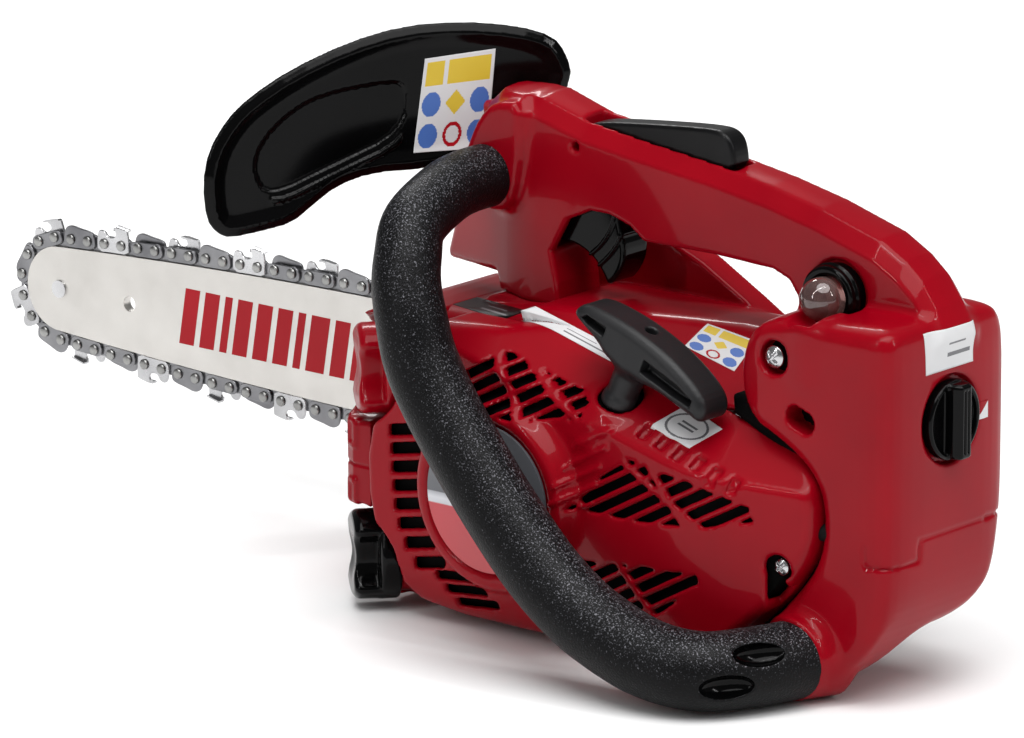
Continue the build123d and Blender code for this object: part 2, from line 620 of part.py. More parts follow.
def handle_frame():
    """Rear housing, top handle and front arm in one moulding."""
    low, high = HANDLE_Y
    rear = side_plate(REAR_SIDE, REAR_Y, 1.5) & cross_plate(REAR_SECTION, (-180, -90))
    rear &= floor_plate(REAR_PLAN, (-1, 160), 2)
    rear -= side_plate([(-122, 136), (-122, 114), (-149, 92), (-160, 68), (-168, 62), (-168, 136)],
                       (REAR_Y[0] + 3, REAR_Y[1] - 3))
    handle = side_plate(HANDLE_TOP + HANDLE_UNDER, HANDLE_Y)
    handle -= floor_plate([(28, high + 1), (84, -5), (84, high + 1)], (100, 180))
    body = rear + handle + rod(TUBE_ROUTE[0], tube_point(0, 16), TUBE_R + 4)
    body -= block((-75, 30), (low + 3, high - 3), (130, 182))
    body -= side_plate([(-110, 160), (-110, 168), (-60, 180), (-60, 162)], (low + 3, high - 3))
    body -= side_plate(COVER_BASE + [(-185, 150), (-185, 210), (COVER_BASE[0][0], 210)], (-4, 12))
    body -= block((-75.5, 1.5), (-1.5, 9.5), (160, 215))
    body -= rod(tube_point(0, -1), tube_point(0, 40), TUBE_R)
    body -= rod(tube_point(-1, -1), tube_point(-1, 40), TUBE_R)
    for (x, z), radius in ((GUARD_PIVOT, 3), (TRIGGER_PIVOT, 2), (LOCK_PIVOT, 1.5)):
        body -= disc_y(x, z, (low - 8, high + 1), radius + FIT)
    body -= rod((-180, KNOB_Y, KNOB_Z), (-150, KNOB_Y, KNOB_Z), 4)
    body -= disc_y(BULB_X, BULB_Z, (14, 34), 13.3)
    body -= disc_y(*CHOKE, (-40, -28), 3 + FIT) + disc_y(*SWITCH, (-40, -28), 3 + FIT)
    return body - rod((-99, 0, INTAKE_Z), (-150, 0, INTAKE_Z), 8) - rod(*REAR_MOUNT, 3.5 + FIT)


COVER_BASE = [(-77, 184.5), (-93, 182), (-117, 176.5), (-141, 169), (-160, 159.5)]


def handle_top_cover():
    """Strip that closes the top of the handle behind the lockout lever."""
    lower = [(x - 0.3, z + 0.1) for x, z in COVER_BASE[:-1]] + [(-157.6, 161)]
    upper = [(-160, 165), (-141, 174.5), (-117, 181.3), (-93, 186.8), (-77.3, 189)]
    return side_plate(lower + upper, (-3.6, 11.6))


def air_cleaner_cover():
    """Back cover over the air filter, held by its knob."""
    low, high = REAR_Y
    face = [(low + 12, 60), (high - 8, 60), (high - 8, 142), (low + 12, 142)]
    cover = cross_plate(face, (REAR_X, -171.3), 4)
    cover -= rod((REAR_X - 3, KNOB_Y, KNOB_Z), (REAR_X + 2.5, KNOB_Y, KNOB_Z), 16)
    return cover - rod((REAR_X - 3, KNOB_Y, KNOB_Z), (REAR_X + 10, KNOB_Y, KNOB_Z), 4)


def air_filter():
    return block((-166, -154), (-18, 34), (96, 132)) - rod((-180, KNOB_Y, KNOB_Z), (-150, KNOB_Y, KNOB_Z), 5)


def cleaner_knob():
    disc = rod((REAR_X + 2.2, KNOB_Y, KNOB_Z), (REAR_X - 1.5, KNOB_Y, KNOB_Z), 15.5)
    bar = block((REAR_X - 7, REAR_X - 1), (KNOB_Y - 4, KNOB_Y + 4), (KNOB_Z - 14.5, KNOB_Z + 14.5))
    return disc + bar + rod((REAR_X + 2, KNOB_Y, KNOB_Z), (REAR_X + 22, KNOB_Y, KNOB_Z), 4 - FIT)


TUBE_ROUTE = [(41, 9, 173), (37, 83, 170), (-4, 90, 90), (-62, 91, 17), (-122, 90, 15.5), (-138, 36, 16)]
TUBE_BENDS = [38, 90, 75, 26]


def tube_point(end, distance):
    """Point inside the straight start (0) or end (-1) of the front handle tube."""
    first, second = (TUBE_ROUTE[0], TUBE_ROUTE[1]) if end == 0 else (TUBE_ROUTE[-1], TUBE_ROUTE[-2])
    share = distance / math.dist(first, second)
    return tuple(a + (b - a) * share for a, b in zip(first, second))


def front_handle():
    route = FilletPolyline(*TUBE_ROUTE, radius=TUBE_BENDS)
    start = Plane(origin=TUBE_ROUTE[0], z_dir=route % 0)
    tube = sweep(start * Circle(TUBE_R - FIT), path=route)
    for x, y in TUBE_SCREWS:
        tube -= rod((x, y, 16), (x, y, 40), 4.5)
    return tube


TUBE_SCREWS = ((-128.4, 66), (-125, 78))


def guard_plan(offset):
    """Centre line of the hand guard in plan, swept forward towards its left end."""
    return [(45 + offset, -31), (62 + offset, -8), (84 + offset, 22), (107 + offset, 53), (129 + offset, 85)]


def hand_guard():
    wall = floor_plate(guard_plan(-2.6) + list(reversed(guard_plan(2.6))), (120, 240))
    face = [(-30, 198), (-27, 214), (-14, 223), (4, 226), (22, 225), (39, 219), (56, 210), (69, 200), (77, 191),
            (83, 180), (85, 166), (83, 151), (78, 146), (66, 147), (55, 152), (45, 162), (34, 168), (18, 170),
            (0, 178), (-16, 186)]
    guard = wall & cross_plate(face, (20, 150), 2)
    guard += block((GUARD_PIVOT[0] - 8, 60), (-16, -11.5), (185.5, 198.5))
    return guard - disc_y(*GUARD_PIVOT, (-20, -5), 3 + FIT)


def guard_pivot():
    return disc_y(*GUARD_PIVOT, (-16.5, HANDLE_Y[1] - 0.5), 3)


def throttle_trigger():
    shape = [(20, 149.5), (10, 159), (4, 176), (-14, 176), (-17, 156), (-21, 147), (-12, 136), (-8, 142), (-2, 149),
             (8, 152.5)]
    blade = side_plate(shape, (-4, 12), 1)
    return blade - disc_y(*TRIGGER_PIVOT, (-6, 13), 2 + FIT)


def trigger_pin():
    return disc_y(*TRIGGER_PIVOT, (HANDLE_Y[0] + 0.5, HANDLE_Y[1] - 0.5), 2)


def throttle_lockout():
    shape = [(1, 192), (-3, 197.6), (-60, 200.5), (-68, 198), (-71, 187.5), (-40, 189.5)]
    blade = side_plate(shape, (-1, 9), 1)
    return blade - disc_y(*LOCK_PIVOT, (-3, 12), 1.5 + FIT)


def lockout_pin():
    return disc_y(*LOCK_PIVOT, (HANDLE_Y[0] + 0.5, HANDLE_Y[1] - 0.5), 1.5)


# ---------------------------------------------------------------- controls on the rear housing
CHOKE = (-142.0, 114.0)
SWITCH = (-116.0, 126.0)


def primer_base():
    ring = disc_y(BULB_X, BULB_Z, (14.2, 24), 13)
    return ring - disc_y(BULB_X, BULB_Z, (19, 25), 9)


def primer_bulb():
    dome = Pos(BULB_X, 26, BULB_Z) * Sphere(8.4) & block((-150, -110), (26, 40), (140, 170))
    return dome + disc_y(BULB_X, BULB_Z, (22.2, 26), 8.4)


def choke_knob():
    return disc_y(*CHOKE, (-42, -29), 3) + disc_y(*CHOKE, (-48, -41), 8)


def ignition_switch():
    rocker = block((SWITCH[0] - 8, SWITCH[0] + 8), (-37.5, -33.5), (SWITCH[1] - 4, SWITCH[1] + 4))
    return rocker + disc_y(*SWITCH, (-34, -30), 3)


def av_mounts():
    """Rubber mounts between the engine unit and the handle frame."""
    return group([rod((24, 4, 117), (24, 4, 123.8), 9), rod(*REAR_MOUNT, 3.5)])


def screws():
    """Cover screws and the two screws that hold the front handle tube."""
    heads = [disc_y(-117, 130, (REAR_Y[1], REAR_Y[1] + 2), 3.8),
             disc_y(-126, 54, (COVER_Y[1], COVER_Y[1] + 1.2), 3.8)]
    return group(heads + [rod((x, y, 16), (x, y, 25), 4) for x, y in TUBE_SCREWS])


def main():
    nodes = {
        "crankcase": crankcase(), "crankshaft": crankshaft(), "engine_pins": engine_pins(),
        "crank_bearings": crank_bearings(), "connecting_rod": connecting_rod(), "piston": piston(),
        "cylinder": cylinder(), "spark_plug": spark_plug(), "rubber_boots": rubber_boots(),
        "muffler": muffler(), "muffler_cover": muffler_cover(), "carburetor": carburetor(),
        "throttle_shaft": throttle_shaft(), "ignition_coil": ignition_coil(),
        "fuel_tank": fuel_tank(), "oil_tank": oil_tank(),
        "fuel_cap": tank_cap(FUEL_CAP), "oil_cap": tank_cap(OIL_CAP),
        "starter_cover": starter_cover(), "starter_badge": starter_badge(),
        "rope_guide": rope_guide(), "starter_rope": starter_rope(), "starter_grip": starter_grip(),
        "recoil_reel": recoil_reel(), "recoil_spring": recoil_spring(),
        "starter_pawls": starter_pawls(), "flywheel": flywheel(),
        "cylinder_cover": cylinder_cover(), "clutch_cover": clutch_cover(),
        "bar_studs": bar_studs(), "bar_nuts": bar_nuts(), "spiked_bumper": spiked_bumper(),
        "guide_bar": guide_bar(), "nose_sprocket": nose_sprocket(), "nose_rivet": nose_rivet(),
        "chain_drive_links": chain_drive_links(), "chain_cutters": chain_cutters(),
        "chain_side_links": chain_side_links(), "chain_rivets": chain_rivets(),
        "clutch_drum": clutch_drum(), "clutch_shoes": clutch_shoes(), "brake_band": brake_band(),
        "oil_pump": oil_pump(), "tension_screw": tension_screw(), "handle_frame": handle_frame(),
        "handle_top_cover": handle_top_cover(), "air_cleaner_cover": air_cleaner_cover(),
        "air_filter": air_filter(), "cleaner_knob": cleaner_knob(), "front_handle": front_handle(),
        "hand_guard": hand_guard(), "throttle_trigger": throttle_trigger(),
        "throttle_lockout": throttle_lockout(),
        "handle_pins": group([trigger_pin(), lockout_pin(), guard_pivot()]),
        "primer_base": primer_base(), "primer_bulb": primer_bulb(), "choke_knob": choke_knob(),
        "ignition_switch": ignition_switch(), "av_mounts": av_mounts(), "screws": screws(),
    }
    os.makedirs("parts", exist_ok=True)
    for name, shape in nodes.items():
        export_step(shape, f"parts/{name}.step")


main()
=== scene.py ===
import json
import math

import bmesh
import bpy
import numpy as np
import openvdb
from mathutils import Matrix, Vector
from mathutils.bvhtree import BVHTree


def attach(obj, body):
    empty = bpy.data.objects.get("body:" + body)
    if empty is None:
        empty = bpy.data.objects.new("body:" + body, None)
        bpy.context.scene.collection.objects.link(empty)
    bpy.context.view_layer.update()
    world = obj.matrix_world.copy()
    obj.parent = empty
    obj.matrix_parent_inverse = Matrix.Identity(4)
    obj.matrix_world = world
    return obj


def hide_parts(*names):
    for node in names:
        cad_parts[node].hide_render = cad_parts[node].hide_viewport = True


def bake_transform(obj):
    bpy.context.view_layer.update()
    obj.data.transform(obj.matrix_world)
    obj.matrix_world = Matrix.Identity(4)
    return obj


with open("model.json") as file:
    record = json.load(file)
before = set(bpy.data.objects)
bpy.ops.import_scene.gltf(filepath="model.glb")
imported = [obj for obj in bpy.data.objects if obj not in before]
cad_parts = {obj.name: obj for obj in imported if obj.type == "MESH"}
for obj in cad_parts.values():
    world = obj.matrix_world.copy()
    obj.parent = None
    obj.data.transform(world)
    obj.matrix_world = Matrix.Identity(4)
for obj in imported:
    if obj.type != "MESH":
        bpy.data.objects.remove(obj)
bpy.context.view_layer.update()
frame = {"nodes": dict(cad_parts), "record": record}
nodes = frame["nodes"]
collection = bpy.context.scene.collection
MM = 0.001


# ---- shapes as distance fields, in millimetres
class Grid:
    """Sample points of a box. Distances to shapes are worked out on them, negative inside."""

    def __init__(self, low, high, step):
        spans = [np.arange(a, b + step, step) for a, b in zip(low, high)]
        self.low, self.step = np.array(low, float), step
        self.x = spans[0][:, None, None]
        self.y = spans[1][None, :, None]
        self.z = spans[2][None, None, :]


def curve(points, rounds=3):
    """Closed outline with its corners cut again and again until it is round."""
    shape = np.array(points, float)
    for _ in range(rounds):
        after = np.roll(shape, -1, axis=0)
        shape = np.stack([shape * 0.75 + after * 0.25, shape * 0.25 + after * 0.75], axis=1).reshape(-1, 2)
    return shape


def polygon(points, u, v):
    """Distance to a closed outline."""
    points = np.array(points, float)
    best = np.full(np.broadcast(u, v).shape, 1e9)
    inside = np.zeros(best.shape, bool)
    for (ax, ay), (bx, by) in zip(points, np.roll(points, -1, axis=0)):
        ex, ey, wx, wy = bx - ax, by - ay, u - ax, v - ay
        share = np.clip((wx * ex + wy * ey) / (ex * ex + ey * ey), 0, 1)
        best = np.minimum(best, (wx - ex * share) ** 2 + (wy - ey * share) ** 2)
        if ay != by:
            inside ^= ((ay > v) != (by > v)) & (u < ex * wy / ey + ax)
    return np.where(inside, -1, 1) * np.sqrt(best)


def both(a, b, radius=0.0):
    """Where the two shapes overlap, with a rounded edge."""
    if radius == 0:
        return np.maximum(a, b)
    corner = np.hypot(np.maximum(a + radius, 0), np.maximum(b + radius, 0))
    return np.minimum(np.maximum(a, b), -radius) + corner


def either(a, b, radius=0.0):
    """The two shapes together, with a rounded inner corner."""
    if radius == 0:
        return np.minimum(a, b)
    corner = np.hypot(np.maximum(radius - a, 0), np.maximum(radius - b, 0))
    return np.maximum(np.minimum(a, b), radius) - corner


def without(a, b, radius=0.0):
    return both(a, -b, radius)


def bevelled(a, b, width):
    """Where the two shapes overlap, with a flat bevel."""
    return np.maximum(np.maximum(a, b), (a + b + width) * math.sqrt(0.5))


def slab(value, low, high):
    return np.abs(value - (low + high) / 2) - (high - low) / 2


def brick(grid, x, y, z, radius=0.0):
    return both(both(slab(grid.x, *x), slab(grid.y, *y), radius), slab(grid.z, *z), radius)


def prism(grid, points, y, edge=0.0, rounds=0):
    """Outline seen from the side, stretched along Y."""
    return both(polygon(curve(points, rounds), grid.x, grid.z), slab(grid.y, *y), edge)


def plane(grid, point, normal):
    """Half space behind a plane whose normal points out."""
    nx, ny, nz = np.array(normal, float) / np.linalg.norm(normal)
    return (grid.x - point[0]) * nx + (grid.y - point[1]) * ny + (grid.z - point[2]) * nz


def axis_distances(grid, start, end):
    """Distance along and away from the line through two points."""
    start, reach = np.array(start, float), np.subtract(end, start).astype(float)
    length = np.linalg.norm(reach)
    ux, uy, uz = reach / length
    dx, dy, dz = grid.x - start[0], grid.y - start[1], grid.z - start[2]
    along = dx * ux + dy * uy + dz * uz
    away = np.sqrt(np.maximum(dx * dx + dy * dy + dz * dz - along * along, 0))
    return along, away, length


def bar(grid, start, end, radius, edge=0.0, far_radius=None):
    """Round bar between two points, or a cone when it has a second radius."""
    along, away, length = axis_distances(grid, start, end)
    grown = 0.0 if far_radius is None else (far_radius - radius) * np.clip(along / length, 0, 1)
    return both(away - radius - grown, slab(along, 0, length), edge)


# ---- pieces
def link_object(name, mesh, material):
    piece = bpy.data.objects.new(name, mesh)
    collection.objects.link(piece)
    if material is not None:
        mesh.materials.append(material)
    return piece


def finish_piece(piece, replaced=(), body="powerhead"):
    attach(piece, body)
    if replaced:
        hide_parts(*replaced)
    return piece


def skin(name, grid, field, material):
    """Mesh of a distance field's surface."""
    volume = openvdb.FloatGrid(float(3 * grid.step))
    volume.copyFromArray(np.ascontiguousarray(field, dtype=np.float32))
    points, quads = volume.convertToQuads(0.0)
    points = (np.array(points, float) * grid.step + grid.low) * MM
    mesh = bpy.data.meshes.new(name)
    mesh.from_pydata(points.tolist(), [], np.array(quads).tolist())
    mesh.shade_smooth()
    return link_object(name, mesh, material)


LABEL_DROP, LABEL_LIFT, LABEL_THICKNESS = 0.03, 0.12 * MM, 0.1 * MM


def label(name, corner_points, target, direction, materials, paint, cells=(40, 20)):
    """Thin printed label: a four-cornered patch dropped along a direction onto another piece.

    The corners run from the lower left against the clock. paint gives the number of the
    material for each place on the label, from 0 to 1 across and from 0 to 1 up.
    """
    tree = BVHTree.FromObject(target, bpy.context.evaluated_depsgraph_get())
    a, b, c, d = (Vector(p) * MM for p in corner_points)
    direction = Vector(direction).normalized()
    points = []
    for row in range(cells[1] + 1):
        for column in range(cells[0] + 1):
            u, v = column / cells[0], row / cells[1]
            start = a.lerp(b, u).lerp(d.lerp(c, u), v) - direction * LABEL_DROP
            hit = tree.ray_cast(start, direction)[0]
            points.append(start + direction * LABEL_DROP if hit is None else hit - direction * LABEL_LIFT)
    width = cells[0] + 1
    spots = [(r, k) for r in range(cells[1]) for k in range(cells[0])]
    first = [r * width + k for r, k in spots]
    faces = [(a, a + 1, a + width + 1, a + width) for a in first]
    mesh = bpy.data.meshes.new(name)
    mesh.from_pydata([tuple(p) for p in points], [], faces)
    mesh.shade_smooth()
    for material in materials:
        mesh.materials.append(material)
    for face, (r, k) in zip(mesh.polygons, spots):
        face.material_index = paint((k + 0.5) / cells[0], (r + 0.5) / cells[1])
    piece = link_object(name, mesh, None)
    thick = piece.modifiers.new("thickness", "SOLIDIFY")
    thick.thickness = LABEL_THICKNESS
    thick.offset = 0
    return piece


def smooth_path(points, count):
    """Evenly spaced points on a smooth line through the given ones."""
    points = [Vector(p) for p in points]
    padded = [points[0] * 2 - points[1]] + points + [points[-1] * 2 - points[-2]]
    fine = []
    for p0, p1, p2, p3 in zip(padded, padded[1:], padded[2:], padded[3:]):
        for step in range(24):
            t = step / 24
            fine.append(0.5 * ((2 * p1) + (p2 - p0) * t + (2 * p0 - 5 * p1 + 4 * p2 - p3) * t ** 2
                               + (3 * p1 - p0 - 3 * p2 + p3) * t ** 3))
    fine.append(points[-1])
    reach = np.concatenate([[0], np.cumsum([(b - a).length for a, b in zip(fine, fine[1:])])])
    wanted = np.linspace(0, reach[-1], count)
    table = np.array([tuple(p) for p in fine])
    return np.stack([np.interp(wanted, reach, table[:, k]) for k in range(3)], axis=1)


def ring_faces(rings, sides):
    """Quads between closed rings of points that stand one behind the other."""
    faces = []
    for ring in range(rings - 1):
        for k in range(sides):
            a, b = ring * sides + k, ring * sides + (k + 1) % sides
            faces.append((a, b, b + sides, a + sides))
    return faces


def sweep(name, path, radii, material, sides):
    """Tube along a path, given in millimetres, with a radius for each point."""
    path = [Vector(p) for p in path]
    normal = (path[1] - path[0]).orthogonal().normalized()
    points = []
    for index, centre in enumerate(path):
        ahead = path[min(index + 1, len(path) - 1)] - path[max(index - 1, 0)]
        ahead.normalize()
        normal = (normal - ahead * normal.dot(ahead)).normalized()
        across = ahead.cross(normal)
        for k in range(sides):
            angle = 2 * math.pi * k / sides
            outwards = normal * math.cos(angle) + across * math.sin(angle)
            points.append(tuple((centre + outwards * radii[index]) * MM))
    faces = ring_faces(len(path), sides)
    faces.append(tuple(reversed(range(sides))))
    faces.append(tuple(range((len(path) - 1) * sides, len(path) * sides)))
    mesh = bpy.data.meshes.new(name)
    mesh.from_pydata(points, [], faces)
    mesh.shade_smooth()
    return link_object(name, mesh, material)


def bevel(piece, width, segments=2, angle=35):
    """Rounded edges on a hard-edged piece."""
    modifier = piece.modifiers.new("edges", "BEVEL")
    modifier.width = width * MM
    modifier.segments = segments
    modifier.limit_method = "ANGLE"
    modifier.angle_limit = math.radians(angle)
    modifier.harden_normals = True
    return piece


# ---- materials
class Shader:
    """A Principled material whose colour, roughness and relief come from procedural nodes."""

    def __init__(self, name, **values):
        self.material = bpy.data.materials.new(name)
        self.material.use_nodes = True
        self.tree = self.material.node_tree
        self.shader = self.tree.nodes["Principled BSDF"]
        self.place = self.tree.nodes.new("ShaderNodeTexCoord").outputs["Object"]
        for key, value in values.items():
            self.shader.inputs[key].default_value = value

    def node(self, kind, **values):
        node = self.tree.nodes.new(kind)
        for key, value in values.items():
            if key in node.inputs:
                node.inputs[key].default_value = value
            else:
                setattr(node, key, value)
        return node

    def link(self, source, target):
        self.tree.links.new(source, target)

    def noise(self, scale, detail=3.0, place=None):
        node = self.node("ShaderNodeTexNoise", Scale=scale, Detail=detail)
        self.link(place or self.place, node.inputs["Vector"])
        return node.outputs["Fac"]

    def ramp(self, source, stops):
        node = self.node("ShaderNodeValToRGB")
        elements = node.color_ramp.elements
        for position, colour in stops[2:]:
            elements.new(position)
        for element, (position, colour) in zip(elements, stops):
            element.position = position
            element.color = (*colour, 1)
        self.link(source, node.inputs["Fac"])
        return node.outputs["Color"]

    def colour(self, source, stops):
        self.link(self.ramp(source, stops), self.shader.inputs["Base Color"])

    def roughness(self, source, low, high):
        node = self.node("ShaderNodeMapRange", **{"To Min": low, "To Max": high})
        self.link(source, node.inputs["Value"])
        self.link(node.outputs["Result"], self.shader.inputs["Roughness"])

    def relief(self, source, strength, distance):
        node = self.node("ShaderNodeBump", Strength=strength, Distance=distance)
        self.link(source, node.inputs["Height"])
        self.link(node.outputs["Normal"], self.shader.inputs["Normal"])


def plastic(name, dark, light, rough, coat=0.0, grain=0.03, grain_scale=1400, shine=0.5):
    shader = Shader(name, **{"Coat Weight": coat, "Coat Roughness": 0.05, "Specular IOR Level": shine})
    shader.colour(shader.noise(18), [(0.35, dark), (0.65, light)])
    shader.roughness(shader.noise(60, 5), rough * 0.85, rough * 1.2)
    shader.relief(shader.noise(grain_scale), grain, 0.0004)
    return shader.material


def metal(name, dark, light, rough, grain=0.08, grain_scale=900, stretch=None):
    shader = Shader(name, **{"Metallic": 1.0})
    shader.colour(shader.noise(45, 6), [(0.3, dark), (0.7, light)])
    shader.roughness(shader.noise(120, 5), rough * 0.75, rough * 1.3)
    if stretch:
        mapping = shader.node("ShaderNodeMapping", Scale=stretch)
        shader.link(shader.place, mapping.inputs["Vector"])
        source = shader.noise(grain_scale, 2.0, mapping.outputs["Vector"])
    else:
        source = shader.noise(grain_scale)
    shader.relief(source, grain, 0.0003)
    return shader.material


def foam_material():
    """Black foam sleeve with pale flecks painted as glints: painted highlight, dense where it faces up or outwards
    and fading out underneath.
    """
    shader = Shader("grip_foam", **{"Specular IOR Level": 0.12})
    normal = shader.node("ShaderNodeSeparateXYZ")
    shader.link(shader.tree.nodes.new("ShaderNodeNewGeometry").outputs["Normal"], normal.inputs["Vector"])
    # Painted highlight: the pale glint flecks fade out on faces that look down, as if lit from above.
    facing = shader.node("ShaderNodeMapRange", **{"From Min": -0.2, "From Max": 0.7,
                                                  "To Min": -0.16, "To Max": 0.0})
    shader.link(normal.outputs["Z"], facing.inputs["Value"])
    painted_glints = shader.node("ShaderNodeMath", operation="ADD")
    shader.link(shader.noise(1500, 2), painted_glints.inputs[0])
    shader.link(facing.outputs["Result"], painted_glints.inputs[1])
    shader.colour(painted_glints.outputs[0], [(0.0, (0.002, 0.002, 0.0023)), (0.50, (0.004, 0.004, 0.0045)),
                                      (0.58, (0.028, 0.028, 0.032)), (0.70, (0.20, 0.20, 0.22))])
    shader.roughness(shader.noise(500), 0.28, 0.5)
    shader.relief(shader.noise(1100, 5), 0.45, 0.0006)
    return shader.material


def bulb_material():
    shader = Shader("bulb_plastic", **{"Transmission Weight": 0.85, "IOR": 1.45, "Roughness": 0.04,
                                       "Coat Weight": 1.0, "Coat Roughness": 0.02})
    shader.colour(shader.noise(120), [(0.3, (0.34, 0.16, 0.15)), (0.7, (0.58, 0.36, 0.33))])
    shader.relief(shader.noise(300), 0.02, 0.0003)
    return shader.material


RED = plastic("red_shell", (0.25, 0.0, 0.006), (0.295, 0.001, 0.0075), 0.3, coat=0.22, shine=0.06, grain=0.012)
BLACK_GLOSS = plastic("black_gloss", (0.001, 0.001, 0.0011), (0.002, 0.002, 0.0022), 0.11, shine=0.13, grain=0.006)
BLACK_SATIN = plastic("black_satin", (0.002, 0.002, 0.0022), (0.004, 0.004, 0.0045), 0.34, shine=0.2, grain=0.08)
CHARCOAL = plastic("charcoal_plastic", (0.010, 0.010, 0.011), (0.016, 0.016, 0.0175), 0.38, shine=0.3, grain=0.12)
# Flat near-black for sheets and discs that stand in for shade inside slots, recesses and gaps: painted shade.
PAINTED_SHADE = plastic("painted_shade", (0.001, 0.001, 0.001), (0.002, 0.002, 0.002), 0.7, shine=0.05)
RUBBER = plastic("rubber", (0.003, 0.003, 0.003), (0.006, 0.006, 0.006), 0.6, shine=0.15, grain=0.2)
FOAM = foam_material()
BULB_PLASTIC = bulb_material()
BAR_STEEL = metal("bar_steel", (0.64, 0.62, 0.59), (0.70, 0.68, 0.65), 0.42, 0.08, 500, (1, 12, 60))
CHAIN_STEEL = metal("chain_steel", (0.16, 0.16, 0.17), (0.30, 0.30, 0.31), 0.32, 0.15)
BRIGHT_STEEL = metal("bright_steel", (0.46, 0.46, 0.47), (0.64, 0.64, 0.65), 0.22)
CUTTER_STEEL = metal("cutter_steel", (0.40, 0.40, 0.41), (0.62, 0.62, 0.63), 0.26, 0.12)
LABEL_WHITE = plastic("label_white", (0.62, 0.62, 0.63), (0.68, 0.68, 0.69), 0.4)
LABEL_GREY = plastic("label_grey", (0.10, 0.10, 0.11), (0.15, 0.15, 0.16), 0.4)
LABEL_YELLOW = plastic("label_yellow", (0.62, 0.44, 0.03), (0.70, 0.50, 0.04), 0.4)
LABEL_BLUE = plastic("label_blue", (0.05, 0.13, 0.42), (0.07, 0.16, 0.48), 0.4)
LABEL_BLACK = plastic("label_black", (0.003, 0.003, 0.0035), (0.006, 0.006, 0.0065), 0.3, shine=0.15)
PRINT_RED = plastic("print_red", (0.34, 0.002, 0.008), (0.40, 0.003, 0.011), 0.4, shine=0.2)
RIVET_STEEL = metal("rivet_steel", (0.24, 0.24, 0.235), (0.40, 0.40, 0.39), 0.34, 0.12)
DARK_STEEL = metal("dark_steel", (0.10, 0.10, 0.10), (0.22, 0.21, 0.20), 0.42, 0.3)
CAST = metal("cast_alloy", (0.42, 0.42, 0.43), (0.55, 0.55, 0.56), 0.5, 0.5)
ROPE = plastic("rope_nylon", (0.5, 0.5, 0.48), (0.7, 0.7, 0.68), 0.6, grain=0.5, grain_scale=900)
FELT = plastic("filter_felt", (0.6, 0.58, 0.5), (0.75, 0.73, 0.66), 0.9, grain=0.6)


# ---- dimensions shared with the CAD model, millimetres
CRANK_Z = 60.0
BADGE_Y = 70.0
GRIP_LEAN = math.radians(24)
ROPE_UP = (-math.sin(GRIP_LEAN), 0, math.cos(GRIP_LEAN))
ROPE_EXIT = (-49.0, 49.0, 103.2)
CAP_AXIS = np.array([0.66, 0.75, 0]) / math.hypot(0.66, 0.75)
FUEL_CAP, OIL_CAP = (71.0, 50.0, 96.5), (74.0, 50.0, 20.5)
KNOB = (-176.0, 6.0, 109.0)
BULB = (-129.0, 24.0, 152.0)
STEP = 0.9


def along_rope(distance, shift=(0, 0, 0)):
    """Place on the line that the starter rope follows."""
    return tuple(p + u * distance + s for p, u, s in zip(ROPE_EXIT, ROPE_UP, shift))


def on_cap(cap, distance):
    """Place on a tank cap's axis."""
    return (cap[0] + CAP_AXIS[0] * distance, cap[1] + CAP_AXIS[1] * distance, cap[2])


# ---- starter cover
HATCH_LEAN, HATCH_PITCH, HATCH_WIDTH = math.radians(29), 5.7, 3.5
CREST, CREST_NORMAL = (13, 59, 114), (-825, 2356, 3200)   # slanted face shared with the engine cover
BOSS_R, BADGE_R, COVER_WALL = 40.5, 30.6, 3.0
CAP_ROOM = 22.4                                           # radius left free round a tank cap


def hatch(grid):
    """Slanted stripes that cut the cooling slots."""
    across = grid.x * math.sin(HATCH_LEAN) + grid.z * math.cos(HATCH_LEAN)
    return np.abs(np.mod(across, HATCH_PITCH) - HATCH_PITCH / 2) - HATCH_WIDTH / 2


